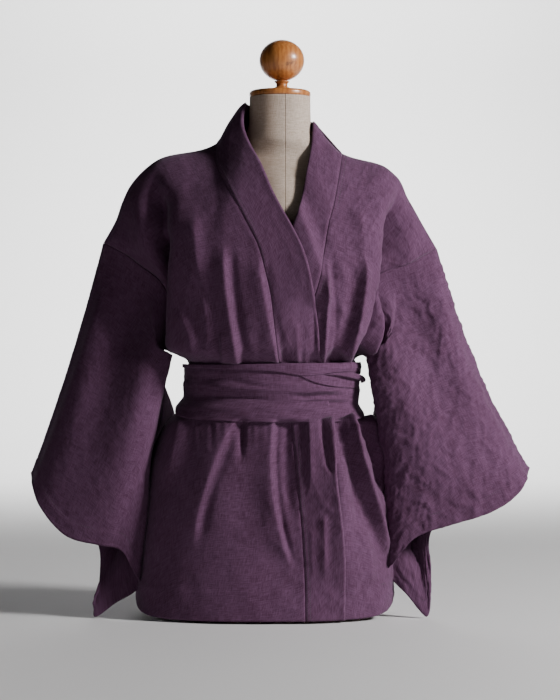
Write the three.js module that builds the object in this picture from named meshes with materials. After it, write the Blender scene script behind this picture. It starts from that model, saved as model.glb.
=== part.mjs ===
// A short kimono with a sash belt, worn by a limbless dress form.
//
// Millimetres, +Z up, the front faces -Y and +X is at the viewer's right.
// The origin is the centre of the underside of the form's round base.
// Left and right in the names are the wearer's: the viewer sees the right front on the left.

import * as THREE from 'three';

// Driving dimensions

const clothWall = 1.8;         // thickness of a linen wall
const sashWall = 2;
const sashFlatTop = 386;       // above this height the sash stands straight up
const layerStep = 2.9;         // from one layer of cloth to the next one on top of it
const sashLift = 8.1;          // inner face of the sash over the back's layer
const sashBulge = 4;           // outer face of the sash with its wrinkles, over its inner face
const seatedGap = 0.5;         // between a piece and the one it lies on
const seamGap = 0.4;           // between two pieces at their seam
const coveredSink = 5.6;       // how far the under front sinks in where the over front hides it
const underarmHeight = 430;    // where the armhole seam meets the side seam
const hemHeight = 4;           // lowest point of the hem, at the front
const hemSideRise = 42;        // how far the hem curves up to the side seams
const backHemRise = 8;         // how much higher the hem is at the back
const skirtHang = 7;           // inner face of the tails over the skirt of the back
const sideTuckRise = 5;        // how much higher the bodice turns in to the sash at the sides
const sleeveSeamGap = 1.3;     // between body and sleeve, along the arm
const sleeveDrop = 0.4;        // the arm's direction at the seam: how far down for each step out
const tuckedCuff = 4.6;        // how far the sleeve starts outside the body at the underarm
const bandFit = 2.8;           // inner face of the standing band over the form's neck
const bandFoot = 0.03;         // gap along the foot of the standing band, as a share of its height
const armholeBow = 34;         // how far the armhole seam stands off the side, front and back
const bodyRoundness = 0.75;    // below 1 makes the body's sections fuller than an ellipse
const seamShare = 0.0021;      // the seam gap as a share across
const neckBandHalf = 0.30;     // seam of the band on the shoulder, as a share across
const neckEdgeHalf = 0.14;     // free edge of the band on the shoulder, as a share across
const backNeckDrop = 0.17;     // depth of the back neckline, as a share of the way down
const baseRadius = 86;
const baseHeight = 12;
const postRadius = 24;
const neckRadius = 49;
const neckTop = 826;           // where the linen of the form ends under its cap
const shoulderLean = 0.06;     // the form's right shoulder stands higher than its left one
const capRadius = 49;
const capHeight = 11;
const spindleHeight = 14;
const ballWidth = 72;
const ballHeight = 66;
const finialX = 3;

const FRONT = -1;
const BACK = 1;

const plum = { color: 0x5b4258, roughness: 0.95, metalness: 0 };
const linen = { color: 0xb3a391, roughness: 0.95, metalness: 0 };
const wood = { color: 0x9a5a25, roughness: 0.45, metalness: 0 };

// The shoulder line from armhole to armhole, over the standing neck band, seen from the front

const shoulderLine = [
  { across: -1.00, x: -281, z: 593 },
  { across: -0.92, x: -262, z: 627 },
  { across: -0.84, x: -251, z: 658 },
  { across: -0.76, x: -237, z: 686 },
  { across: -0.67, x: -213, z: 712 },
  { across: -0.57, x: -186, z: 729 },
  { across: -0.30, x: -102, z: 750 },
  { across: -0.22, x: -78, z: 790 },
  { across: -0.14, x: -54, z: 817 },
  { across: 0.00, x: 0, z: 818 },
  { across: 0.14, x: 53, z: 787 },
  { across: 0.22, x: 73, z: 760 },
  { across: 0.30, x: 99, z: 735 },
  { across: 0.57, x: 163, z: 716 },
  { across: 0.67, x: 184, z: 700 },
  { across: 0.76, x: 198, z: 683 },
  { across: 0.84, x: 210, z: 654 },
  { across: 0.92, x: 227, z: 622 },
  { across: 1.00, x: 249, z: 584 },
];

// Sections of the worn body: side limits, and depth of the front and the back

const bodySections = [
  { z: 820, left: -200, right: 178, front: 58, back: 60 },
  { z: 750, left: -200, right: 178, front: 66, back: 76 },
  { z: 700, left: -200, right: 178, front: 90, back: 94 },
  { z: 650, left: -200, right: 178, front: 106, back: 106 },
  { z: 600, left: -201, right: 178, front: 117, back: 112 },
  { z: 550, left: -202, right: 178, front: 123, back: 114 },
  { z: 500, left: -203, right: 178, front: 122, back: 113 },
  { z: 450, left: -203, right: 178, front: 120, back: 112 },
  { z: 424, left: -198, right: 165, front: 118, back: 109 },
  { z: 414, left: -172, right: 134, front: 112, back: 101 },
  { z: 404, left: -148, right: 119, front: 105.5, back: 95 },
  { z: 396, left: -145, right: 118, front: 104.5, back: 94 },
  { z: 372, left: -144, right: 117, front: 103, back: 92 },
  { z: 345, left: -148, right: 117, front: 103, back: 92 },
  { z: 322, left: -164, right: 124, front: 105, back: 94 },
  { z: 306, left: -179, right: 144, front: 108, back: 98 },
  { z: 284, left: -192, right: 158, front: 112, back: 104 },
  { z: 246, left: -205, right: 173, front: 116, back: 110 },
  { z: 150, left: -216, right: 178, front: 123, back: 118 },
  { z: 50, left: -226, right: 179, front: 129, back: 124 },
  { z: 0, left: -230, right: 180, front: 131, back: 126 },
];

// Lines of the neck bands on the front, by height: seams to the fronts and free edges

const overSeam = [
  { z: 750, x: -102 }, { z: 715, x: -99 }, { z: 668, x: -77 }, { z: 627, x: -56 },
  { z: 583, x: -34 }, { z: 544, x: -23 }, { z: 509, x: -15 }, { z: 454, x: -8 },
  { z: 408, x: -2 }, { z: 305, x: 17 }, { z: 217, x: 26 }, { z: 154, x: 32 },
  { z: 76, x: 37 }, { z: 0, x: 38 },
];
const overEdge = [
  { z: 817, x: -54 }, { z: 780, x: -57 }, { z: 743, x: -46 }, { z: 706, x: -28 },
  { z: 666, x: -11 }, { z: 634, x: 6 }, { z: 613, x: 18 }, { z: 582, x: 33 },
  { z: 551, x: 43 }, { z: 499, x: 53 }, { z: 454, x: 59 }, { z: 411, x: 62 },
  { z: 311, x: 56 }, { z: 264, x: 72 }, { z: 217, x: 82 }, { z: 153, x: 90 },
  { z: 107, x: 94 }, { z: 0, x: 100 },
];
const underSeam = [
  { z: 735, x: 99 }, { z: 689, x: 91 }, { z: 647, x: 83 }, { z: 617, x: 75 },
  { z: 574, x: 68 }, { z: 520, x: 56 }, { z: 454, x: 32 }, { z: 408, x: 8 },
  { z: 300, x: 0 }, { z: 200, x: -18 }, { z: 0, x: -34 },
];
const underEdge = [
  { z: 787, x: 53 }, { z: 744, x: 49 }, { z: 706, x: 42 }, { z: 656, x: 33 },
  { z: 615, x: 20 }, { z: 560, x: -4 }, { z: 500, x: -25 }, { z: 454, x: -42 },
  { z: 408, x: -54 }, { z: 300, x: -60 }, { z: 200, x: -78 }, { z: 0, x: -96 },
];

// The largest folds of the body, from their top to their bottom point on one face.
// A height below zero is a valley, and bow is how far the middle swings to +X.

const bodyFolds = [
  { face: FRONT, x: -196, z: 712, toX: -204, toZ: 432, bow: 0, width: 13, height: -20, fadeFrom: 0.4 },
  { face: FRONT, x: 192, z: 700, toX: 182, toZ: 432, bow: 0, width: 12, height: -18, fadeFrom: 0.4 },
  { face: BACK, x: -196, z: 712, toX: -204, toZ: 432, bow: 0, width: 13, height: -20, fadeFrom: 0.4 },
  { face: BACK, x: 192, z: 700, toX: 182, toZ: 432, bow: 0, width: 12, height: -18, fadeFrom: 0.4 },
  { face: FRONT, x: -70, z: 585, toX: -58, toZ: 400, bow: -2, width: 12, height: 9 },
  { face: FRONT, x: 70, z: 560, toX: 62, toZ: 405, bow: 2, width: 9, height: 7 },
  { face: FRONT, x: 106, z: 560, toX: 92, toZ: 408, bow: 10, width: 11, height: 8 },
  { face: FRONT, x: 132, z: 545, toX: 120, toZ: 408, bow: 14, width: 12, height: 10 },
  { face: FRONT, x: -67, z: 312, toX: -150, toZ: -20, bow: -20, width: 17, height: 12 },
  { face: FRONT, x: -50, z: 312, toX: -46, toZ: 150, bow: 2, width: 9, height: -7 },
  { face: FRONT, x: -12, z: 312, toX: 24, toZ: 0, bow: -16, width: 15, height: 13 },
  { face: FRONT, x: 92, z: 312, toX: 162, toZ: 20, bow: 18, width: 13, height: 10 },
  { face: FRONT, x: -150, z: 316, toX: -168, toZ: 150, bow: -4, width: 12, height: 8 },
  { face: FRONT, x: 72, z: 318, toX: 70, toZ: 215, bow: 0, width: 9, height: -6 },
  { face: BACK, x: -88, z: 610, toX: -60, toZ: 402, bow: -6, width: 13, height: 9 },
  { face: BACK, x: 84, z: 600, toX: 52, toZ: 402, bow: 6, width: 13, height: 9 },
  { face: BACK, x: -8, z: 520, toX: -12, toZ: 402, bow: 3, width: 11, height: 7 },
  { face: BACK, x: -78, z: 310, toX: -146, toZ: -40, bow: -10, width: 17, height: 12 },
  { face: BACK, x: -22, z: 310, toX: -44, toZ: -60, bow: 6, width: 15, height: 11 },
  { face: BACK, x: 48, z: 310, toX: 70, toZ: -60, bow: 8, width: 16, height: 12 },
  { face: BACK, x: 98, z: 310, toX: 146, toZ: -10, bow: 8, width: 14, height: 9 },
];

// The cuff edge of each sleeve, once round it: front layer, underarm corner at 0.50, back layer

const rightCuff = [
  { around: 0.00, x: -395, y: -5, z: 225 },
  { around: 0.08, x: -377, y: -38, z: 176 },
  { around: 0.17, x: -337, y: -58, z: 132 },
  { around: 0.28, x: -285, y: -67, z: 117 },
  { around: 0.38, x: -250, y: -60, z: 108 },
  { around: 0.44, x: -237, y: -50, z: 78 },
  { around: 0.50, x: -233, y: -42, z: 46 },
  { around: 0.57, x: -262, y: -54, z: 24 },
  { around: 0.64, x: -293, y: -60, z: 4 },
  { around: 0.72, x: -286, y: -40, z: 56 },
  { around: 0.80, x: -292, y: -14, z: 118 },
  { around: 0.90, x: -345, y: 18, z: 186 },
  { around: 1.00, x: -395, y: -5, z: 225 },
];
const leftCuff = [
  { around: 0.00, x: 396, y: -5, z: 232 },
  { around: 0.08, x: 374, y: -38, z: 196 },
  { around: 0.17, x: 330, y: -58, z: 168 },
  { around: 0.28, x: 262, y: -67, z: 147 },
  { around: 0.38, x: 212, y: -62, z: 128 },
  { around: 0.44, x: 190, y: -52, z: 96 },
  { around: 0.50, x: 183, y: -42, z: 66 },
  { around: 0.57, x: 204, y: -52, z: 36 },
  { around: 0.64, x: 232, y: -60, z: 4 },
  { around: 0.72, x: 238, y: -42, z: 66 },
  { around: 0.80, x: 244, y: -14, z: 138 },
  { around: 0.90, x: 330, y: 18, z: 196 },
  { around: 1.00, x: 396, y: -5, z: 232 },
];

// Each sleeve: outer rail bow, fullness of the front and the back layer, and how far the
// inner part of the back layer reaches in behind the body

const sleeves = {
  right: { side: -1, cuff: rightCuff, railBow: 6, front: 24, back: 34, reachX: 62, reachY: 92 },
  left: { side: 1, cuff: leftCuff, railBow: -14, front: 24, back: 34, reachX: -40, reachY: 92 },
};

// The sash: its upper and lower edge, and the lower edge of its narrow upper strip

const sashEdges = [
  { across: -1.0, top: 399, bottom: 338, strip: 391 },
  { across: -0.8, top: 399, bottom: 322, strip: 390 },
  { across: -0.5, top: 398, bottom: 314, strip: 389 },
  { across: 0.0, top: 400, bottom: 310, strip: 384 },
  { across: 0.35, top: 401, bottom: 310, strip: 379 },
  { across: 0.7, top: 402, bottom: 314, strip: 382 },
  { across: 1.0, top: 402, bottom: 324, strip: 386 },
];
const sashWrinkles = [
  { z: 362, height: 1.6, width: 5 },
  { z: 343, height: -1.8, width: 6 },
  { z: 328, height: 1.4, width: 5 },
];
const stripAcross = 0.9;       // the strip runs from minus this share to plus this share

// The rolled twist near the viewer's right end of the front, the knot at the back and its two tails

const twist = { from: 0.6, to: 0.93, z: 373, rise: 3, thick: 9, high: 15 };
const knot = { x: -12, z: 356, width: 58, high: 70, thick: 20 };
const tails = {
  right: { topX: -31, topWidth: 32, x: -66, width: 64, end: 118, slant: 14 },
  left: { topX: 7, topWidth: 32, x: 30, width: 64, end: 92, slant: -12 },
};

// The form: sections of the torso, neck to lower edge

const formSections = [
  { z: 826, x: 0, half: 48.5, front: 48, back: 48 },
  { z: 800, x: 0, half: 49, front: 49, back: 49 },
  { z: 775, x: 0, half: 51, front: 50, back: 52 },
  { z: 755, x: 0, half: 62, front: 50, back: 54 },
  { z: 742, x: 0, half: 80, front: 42, back: 48 },
  { z: 732, x: 0, half: 102, front: 38, back: 42 },
  { z: 725, x: 0, half: 125, front: 38, back: 42 },
  { z: 716, x: -2, half: 148, front: 42, back: 46 },
  { z: 704, x: -4, half: 164, front: 48, back: 54 },
  { z: 690, x: -6, half: 172, front: 56, back: 68 },
  { z: 650, x: -8, half: 168, front: 76, back: 80 },
  { z: 600, x: -10, half: 158, front: 96, back: 90 },
  { z: 550, x: -10, half: 152, front: 108, back: 94 },
  { z: 500, x: -12, half: 146, front: 106, back: 92 },
  { z: 450, x: -13, half: 134, front: 98, back: 88 },
  { z: 400, x: -14, half: 122, front: 94, back: 84 },
  { z: 350, x: -14, half: 120, front: 93, back: 84 },
  { z: 300, x: -12, half: 134, front: 98, back: 88 },
  { z: 240, x: -10, half: 148, front: 104, back: 94 },
  { z: 160, x: -6, half: 154, front: 106, back: 98 },
  { z: 84, x: 0, half: 150, front: 102, back: 96 },
  { z: 72, x: 0, half: 140, front: 92, back: 88 },
];

// Small maths

const lerp = (a, b, t) => a + (b - a) * t;
const clamp01 = (t) => Math.min(1, Math.max(0, t));

function ease(from, to, value) {
  const t = clamp01((value - from) / (to - from));
  return t * t * (3 - 2 * t);
}

// Value of a column at a place along the table's key, on a smooth curve through the rows
function column(rows, key, name, place) {
  const up = rows[rows.length - 1][key] > rows[0][key] ? 1 : -1;
  const last = rows.length - 1;
  let i = 0;
  while (i < last - 1 && (place - rows[i + 1][key]) * up > 0) i += 1;
  const span = rows[i + 1][key] - rows[i][key];
  const t = clamp01((place - rows[i][key]) / span);
  const slope = (j) => {
    const lo = rows[Math.max(0, j - 1)];
    const hi = rows[Math.min(last, j + 1)];
    return ((hi[name] - lo[name]) / (hi[key] - lo[key])) * span;
  };
  const t2 = t * t;
  const t3 = t2 * t;
  return (2 * t3 - 3 * t2 + 1) * rows[i][name] + (t3 - 2 * t2 + t) * slope(i)
    + (3 * t2 - 2 * t3) * rows[i + 1][name] + (t3 - t2) * slope(i + 1);
}

// The worn body surface. across runs from -1 to 1 between the side seams, and down from 0 at
// the shoulder line over 1 at the underarm to 2 at the hem.

function hemRise(face, across) {
  const power = face === FRONT ? 6 : 4;
  const extra = face === BACK ? backHemRise : 0;
  return extra * (1 - Math.abs(across) ** power) + hemSideRise * Math.abs(across) ** power;
}

function bodyHeight(face, across, down) {
  if (down < 1) return lerp(column(shoulderLine, 'across', 'z', across), underarmHeight, down);
  const t = down - 1;
  return lerp(underarmHeight, hemHeight, t) + hemRise(face, across) * t ** 4;
}

const downAtHeight = (z) => 1 + (underarmHeight - z) / (underarmHeight - hemHeight);

function foldHeight(face, x, z) {
  let sum = 0;
  for (const fold of bodyFolds) {
    if (fold.face !== face) continue;
    const t = (fold.z - z) / (fold.z - fold.toZ);
    if (t < 0 || t > 1) continue;
    const axis = lerp(fold.x, fold.toX, t) + fold.bow * 4 * t * (1 - t);
    const fade = ease(0, 0.22, t) * (1 - ease(fold.fadeFrom ?? 0.78, 1, t));
    sum += fold.height * fade * Math.exp(-(((x - axis) / fold.width) ** 2));
  }
  const belted = ease(300, 322, z) * (1 - ease(400, 412, z));
  return sum * (1 - belted);
}

// The bodice turns in to the sash higher at the sides than at the front and the back
function sectionLevel(across, z) {
  const side = ease(0.35, 0.8, Math.abs(across));
  return z - sideTuckRise * side * ease(385, 405, z) * (1 - ease(430, 475, z));
}

function bodyBase(face, across, down) {
  const z = bodyHeight(face, across, down);
  const level = sectionLevel(across, z);
  const left = column(bodySections, 'z', 'left', level);
  const right = column(bodySections, 'z', 'right', level);
  const depth = column(bodySections, 'z', face === FRONT ? 'front' : 'back', level);
  const angle = across * Math.PI / 2;
  const sectionX = (left + right) / 2 + Math.sin(angle) * (right - left) / 2;
  const round = Math.max(0, Math.cos(angle)) ** bodyRoundness;
  const t = clamp01(down);
  const pull = 1 - (1 - t) ** (1 + 4 * Math.abs(across) ** 6);
  const x = lerp(column(shoulderLine, 'across', 'x', across), sectionX, pull);
  const forward = Math.sin(Math.min(1, t / 0.5) * Math.PI / 2) ** 0.42;
  const bow = armholeBow * Math.max(0, Math.sin(Math.PI * t)) ** 0.6 * across ** 4;
  return new THREE.Vector3(x, face * (depth * round * forward + bow), z);
}

function normalOf(surface, u, v, uMin, uMax, vMin, vMax) {
  const step = 1e-3;
  const du = surface(Math.min(uMax, u + step), v).sub(surface(Math.max(uMin, u - step), v));
  const dv = surface(u, Math.min(vMax, v + step)).sub(surface(u, Math.max(vMin, v - step)));
  return du.cross(dv).normalize();
}

function bodyFrame(face, across, down) {
  const base = (u, v) => bodyBase(face, u, v);
  const point = base(across, down);
  const normal = normalOf(base, across, down, -1, 1, 0, 2).multiplyScalar(face);
  point.addScaledVector(normal, foldHeight(face, point.x, point.z));
  point.y += face * seamGap / 2;
  return { point, normal: mitred(normal, face, across, down) };
}

// Along the armhole seam the walls of body and sleeve meet in a mitre
function mitred(normal, face, across, down) {
  const share = ease(0.88, 1, Math.abs(across)) * ease(0.02, 0.2, down) * (1 - ease(0.75, 0.98, down));
  return normal.lerp(new THREE.Vector3(Math.sign(across) * 0.5, face * 0.85, 0), share).normalize();
}

// How far the over front is lifted off the side seam's layer to lie on the under front
function overLift(across, down) {
  return layerStep * ease(-0.95, -0.6, across) * ease(0.08, 0.4, down);
}

// Share across where a line of the neck bands crosses a row of the front
function lineAcross(line, down) {
  let lo = -0.75;
  let hi = 0.75;
  for (let i = 0; i < 40; i += 1) {
    const middle = (lo + hi) / 2;
    const point = bodyBase(FRONT, middle, down);
    if (point.x < column(line, 'z', 'x', point.z)) lo = middle;
    else hi = middle;
  }
  return (lo + hi) / 2;
}

// Closed walls: an outer and an inner grid, joined along the open edges

function wallGeometry(columns, rows, frameAt, lift, wall, closed = false) {
  const across = closed ? columns : columns + 1;
  const positions = [];
  for (const side of [1, 0]) {
    for (let j = 0; j <= rows; j += 1) {
      for (let i = 0; i < across; i += 1) {
        const { point, normal } = frameAt(i, j);
        const offset = lift(i, j) + side * wall;
        positions.push(...point.clone().addScaledVector(normal, offset).toArray());
      }
    }
  }
  const layer = across * (rows + 1);
  const at = (side, i, j) => side * layer + j * across + (i % across);
  const index = [];
  const quad = (a, b, c, d) => index.push(a, b, c, a, c, d);
  for (let j = 0; j < rows; j += 1) {
    for (let i = 0; i < columns; i += 1) {
      quad(at(0, i, j), at(0, i, j + 1), at(0, i + 1, j + 1), at(0, i + 1, j));
      quad(at(1, i, j), at(1, i + 1, j), at(1, i + 1, j + 1), at(1, i, j + 1));
    }
  }
  for (let i = 0; i < columns; i += 1) {
    quad(at(0, i, 0), at(0, i + 1, 0), at(1, i + 1, 0), at(1, i, 0));
    quad(at(0, i + 1, rows), at(0, i, rows), at(1, i, rows), at(1, i + 1, rows));
  }
  for (let j = 0; j < rows && !closed; j += 1) {
    quad(at(0, 0, j + 1), at(0, 0, j), at(1, 0, j), at(1, 0, j + 1));
    quad(at(0, columns, j), at(0, columns, j + 1), at(1, columns, j + 1), at(1, columns, j));
  }
  return facingOut(positions, index);
}

// Geometry from points and triangles, turned inside out where its volume is negative
function facingOut(positions, index) {
  const corner = (k) => new THREE.Vector3().fromArray(positions, 3 * index[k]);
  let volume = 0;
  for (let k = 0; k < index.length; k += 3) {
    volume += corner(k).dot(corner(k + 1).cross(corner(k + 2)));
  }
  if (volume < 0) index.reverse();
  const geometry = new THREE.BufferGeometry();
  geometry.setAttribute('position', new THREE.Float32BufferAttribute(positions, 3));
  geometry.setIndex(index);
  geometry.computeVertexNormals();
  return geometry;
}

const group = new THREE.Group();

function add(name, geometry, finish) {
  const mesh = new THREE.Mesh(geometry, new THREE.MeshStandardMaterial(finish));
  mesh.name = name;
  group.add(mesh);
}

// Rows of the body panels: close together where the cloth turns at the belt

const yokeRows = 12;
const skirtLevels = [412, 404, 394, 352, 322, 304, 280, 240, 190, 140, 80];
const bodyRows = [];
for (let j = 0; j <= yokeRows; j += 1) bodyRows.push((j / yokeRows) ** 1.35);
for (const z of skirtLevels) bodyRows.push(downAtHeight(z));
bodyRows.push(2);

function frontStrip(columns, fromAt, toAt, liftAt) {
  const rows = bodyRows.length - 1;
  const limits = bodyRows.map((down) => ({ from: fromAt(down), to: toAt(down) }));
  const acrossAt = (i, j) => lerp(limits[j].from, limits[j].to, i / columns);
  return wallGeometry(columns, rows,
    (i, j) => bodyFrame(FRONT, acrossAt(i, j), bodyRows[j]),
    (i, j) => liftAt(acrossAt(i, j), bodyRows[j]), clothWall);
}

// How far the under front sinks towards the form where it is hidden
function underLift(across, down) {
  return -coveredSink * ease(0.0, 0.1, lineAcross(overEdge, down) - across) * ease(0.3, 0.5, down);
}

const onSeam = (line, shift) => (down) => lineAcross(line, down) + shift * seamShare / 2;
const atSide = (side) => () => side;
const flat = () => 0;

add('front_right', frontStrip(15, atSide(-1), onSeam(overSeam, -1), overLift), plum);
add('band_right', frontStrip(4, onSeam(overSeam, 1), onSeam(overEdge, 0), overLift), plum);
add('band_left', frontStrip(4, onSeam(underEdge, 0), onSeam(underSeam, -1), underLift), plum);
add('front_left', frontStrip(14, onSeam(underSeam, 1), atSide(1), underLift), plum);

// The back hangs from the shoulder line, and its neckline dips between the bands

function neckDip(across) {
  const t = clamp01(1 - (across / neckBandHalf) ** 2);
  return backNeckDrop * Math.sqrt(t);
}

const neckColumns = 12;

// Places across the back, with one at each end of the neckline
function backPlaces(sideColumns, neckColumns) {
  const places = [];
  for (let i = 0; i < sideColumns; i += 1) places.push(lerp(-1, -neckBandHalf, i / sideColumns));
  for (let i = 0; i <= neckColumns; i += 1) {
    places.push(lerp(-neckBandHalf, neckBandHalf, i / neckColumns));
  }
  for (let i = 1; i <= sideColumns; i += 1) places.push(lerp(neckBandHalf, 1, i / sideColumns));
  return places;
}

function backGeometry(places) {
  const downAt = (i, j) => bodyRows[j] + neckDip(places[i]) * Math.max(0, 1 - bodyRows[j]);
  return wallGeometry(places.length - 1, bodyRows.length - 1,
    (i, j) => bodyFrame(BACK, places[i], downAt(i, j)), flat, clothWall);
}

add('back', backGeometry(backPlaces(8, neckColumns)), plum);

// The band across the back of the neck, from the one shoulder line to the other

function neckBandPoint(along, up) {
  const across = lerp(-neckBandHalf, neckBandHalf, along);
  const seat = bodyFrame(BACK, across, neckDip(across)).point;
  const edge = lerp(-neckEdgeHalf, neckEdgeHalf, along);
  const swing = Math.sin(Math.PI * along);
  const top = new THREE.Vector3(
    column(shoulderLine, 'across', 'x', edge),
    (neckRadius + bandFit) * Math.sqrt(Math.max(0, swing)) + seamGap / 2,
    lerp(column(shoulderLine, 'across', 'z', -neckEdgeHalf),
      column(shoulderLine, 'across', 'z', neckEdgeHalf), along),
  );
  return seat.lerp(top, up);
}

function neckBandGeometry(columns, rows) {
  const surface = (u, v) => neckBandPoint(u, v);
  return wallGeometry(columns, rows, (i, j) => {
    const u = i / columns;
    const v = lerp(bandFoot, 1, j / rows);
    const normal = normalOf(surface, u, v, 0, 1, 0, 1).multiplyScalar(-1);
    return { point: surface(u, v), normal };
  }, flat, clothWall);
}

add('band_neck', neckBandGeometry(neckColumns, 3), plum);

// A sleeve is a tube from the armhole seam to the cuff edge

function armholeFrame(side, around) {
  const face = around < 0.5 ? FRONT : BACK;
  const down = around < 0.5 ? around * 2 : (1 - around) * 2;
  const frame = bodyFrame(face, side, down);
  frame.point.addScaledVector(new THREE.Vector3(side, 0, -sleeveDrop).normalize(), sleeveSeamGap);
  return { ...frame, down };
}

function sleevePoint(sleeve, around, along) {
  const { side, cuff } = sleeve;
  const top = armholeFrame(side, around);
  const point = top.point;
  point.x += side * tuckedCuff * ease(0.7, 1, top.down);
  point.lerp(new THREE.Vector3(
    column(cuff, 'around', 'x', around),
    column(cuff, 'around', 'y', around),
    column(cuff, 'around', 'z', around),
  ), along);
  const middle = Math.sin(Math.PI * along);
  const outer = Math.exp(-((Math.min(around, 1 - around) / 0.1) ** 2));
  const front = around < 0.5 ? Math.sin(2 * Math.PI * around) : 0;
  const back = around > 0.5 ? Math.sin(2 * Math.PI * (1 - around)) : 0;
  const inner = Math.exp(-(((around - 0.64) / 0.09) ** 2));
  const reach = ease(0.1, 0.42, along) * (1 - ease(0.45, 0.9, along));
  point.x += middle * sleeve.railBow * outer + reach * sleeve.reachX * inner;
  point.y += middle * (sleeve.back * back - sleeve.front * front) + reach * sleeve.reachY * inner;
  return clearOfBody(point, ease(0, 0.14, along));
}

// Moves a point of a sleeve out to just clear of the body's section at its height
function clearOfBody(point, share) {
  const clearance = lerp(5, 9, 1 - ease(360, 420, point.z));
  const left = column(bodySections, 'z', 'left', point.z) - clearance;
  const right = column(bodySections, 'z', 'right', point.z) + clearance;
  const depth = column(bodySections, 'z', point.y < 0 ? 'front' : 'back', point.z) + clearance;
  const middle = (left + right) / 2;
  const across = (point.x - middle) / ((right - left) / 2);
  const deep = Math.abs(point.y) / depth;
  const inside = across ** 2 + deep ** (2 / bodyRoundness);
  const free = ease(underarmHeight + 60, underarmHeight + 110, point.z);
  if (inside < 1) {
    const out = lerp(1, 1 / Math.sqrt(inside), share * (1 - free));
    point.x = middle + (point.x - middle) * out;
    point.y *= out;
  }
  return point;
}

// Places round a sleeve: those of the body's rows along the armhole seam, front and back
const sleevePlaces = bodyRows.slice(0, yokeRows + 1).map((down) => down / 2);
for (let i = yokeRows - 1; i > 0; i -= 1) sleevePlaces.push(1 - sleevePlaces[i]);

function sleeveGeometry(sleeve, rows) {
  const surface = (u, v) => sleevePoint(sleeve, ((u % 1) + 1) % 1, v);
  return wallGeometry(sleevePlaces.length, rows, (i, j) => {
    const u = sleevePlaces[i];
    const v = (j / rows) ** 1.15;
    const own = normalOf(surface, u, v, -1, 2, 0, 1).multiplyScalar(sleeve.side);
    const seam = armholeFrame(sleeve.side, u);
    const hold = (1 - ease(0, 0.25, v)) * (1 - ease(0.72, 0.95, seam.down));
    const normal = own.lerp(seam.normal, hold).normalize();
    return { point: surface(u, v), normal };
  }, flat, clothWall, true);
}

add('sleeve_right', sleeveGeometry(sleeves.right, 13), plum);
add('sleeve_left', sleeveGeometry(sleeves.left, 13), plum);

// The sash lies on the body two layers up, and its turns are given by height, all round

function sashFrame(face, across, z) {
  const frame = bodyFrame(face, across, downAtHeight(Math.min(z, sashFlatTop)));
  frame.normal.z = 0;
  frame.normal.normalize();
  frame.point.z = z;
  const wrinkle = sashWrinkles.reduce((sum, row) => (
    sum + row.height * Math.exp(-(((z - row.z + 6 * Math.sin(2.2 * across)) / row.width) ** 2))
  ), 0);
  frame.point.addScaledVector(frame.normal, sashLift + wrinkle);
  return frame;
}

function sashRing(columns, rows) {
  return wallGeometry(columns, rows, (i, j) => {
    const turn = (i / columns) * 4;
    const face = turn < 2 ? FRONT : BACK;
    const across = turn < 2 ? turn - 1 : 3 - turn;
    const z = lerp(column(sashEdges, 'across', 'top', across),
      column(sashEdges, 'across', 'bottom', across), j / rows);
    return sashFrame(face, across, z);
  }, flat, sashWall, true);
}

// A rolled twist on the sash: round sections along a short stretch of the front
function sashTwist(steps, sides) {
  const { from, to, z, rise, thick, high } = twist;
  const levels = Array.from({ length: steps + 1 }, (_, i) => i / steps);
  return loftGeometry(levels, sides, (t, angle) => {
    const across = lerp(from, to, t);
    const frame = sashFrame(FRONT, across, z + rise * t);
    const swell = 0.35 + 0.65 * Math.sin(Math.PI * t) ** 0.6;
    const off = sashWall + seatedGap + thick / 2 * (1 + swell * Math.cos(angle));
    frame.point.addScaledVector(frame.normal, off);
    frame.point.z += high / 2 * swell * Math.sin(angle);
    return frame.point;
  });
}

// Share across at which the body's section at a height has a given x
function acrossAt(x, z) {
  const left = column(bodySections, 'z', 'left', z);
  const right = column(bodySections, 'z', 'right', z);
  return Math.asin((2 * x - left - right) / (right - left)) / (Math.PI / 2);
}

const tailReach = sashWall + 1;

// The knot at the back: a rounded pad of wound cloth, bulging over the sash and the tails' tops
function sashKnot(steps, sides) {
  const { x, z, width, high, thick } = knot;
  const levels = Array.from({ length: steps + 1 }, (_, i) => lerp(-1, 1, i / steps));
  return loftGeometry(levels, sides, (t, angle) => {
    const swell = Math.sqrt(1 - 0.92 * t * t);
    const waist = 1 - 0.16 * (1 - t * t);
    const seat = sashFrame(BACK, acrossAt(x, z), z);
    const deep = sashBulge + tailReach + thick / 2 * (1 + swell * Math.cos(angle));
    seat.point.y += deep;
    seat.point.x = x + t * width / 2;
    seat.point.z = z + high / 2 * swell * waist * Math.sin(angle);
    return seat.point;
  });
}

// A tail of the sash, hanging from under the knot down the back of the skirt
function sashTail(tail, columns, rows) {
  return wallGeometry(columns, rows, (i, j) => {
    const t = j / rows;
    const z = lerp(knot.z + 8, tail.end + tail.slant * (i / columns), t);
    const half = lerp(tail.topWidth, tail.width, ease(0, 0.5, t)) / 2;
    const x = lerp(tail.topX, tail.x, t ** 0.9) + lerp(-half, half, i / columns);
    const frame = bodyFrame(BACK, acrossAt(x, z), downAtHeight(z));
    const ripple = 3 * Math.sin(Math.PI * 2 * (i / columns)) * ease(0.2, 0.7, t);
    const off = lerp(sashLift + sashBulge + seatedGap, skirtHang, ease(0.22, 0.5, t));
    frame.point.addScaledVector(frame.normal, off + ripple);
    return frame;
  }, flat, sashWall);
}

function sashStrip(columns, rows) {
  return wallGeometry(columns, rows, (i, j) => {
    const across = lerp(-stripAcross, stripAcross, i / columns);
    const top = column(sashEdges, 'across', 'top', across) + 1;
    const z = lerp(top, column(sashEdges, 'across', 'strip', across), j / rows);
    return sashFrame(FRONT, across, z);
  }, () => sashWall + seamGap, sashWall);
}

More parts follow.
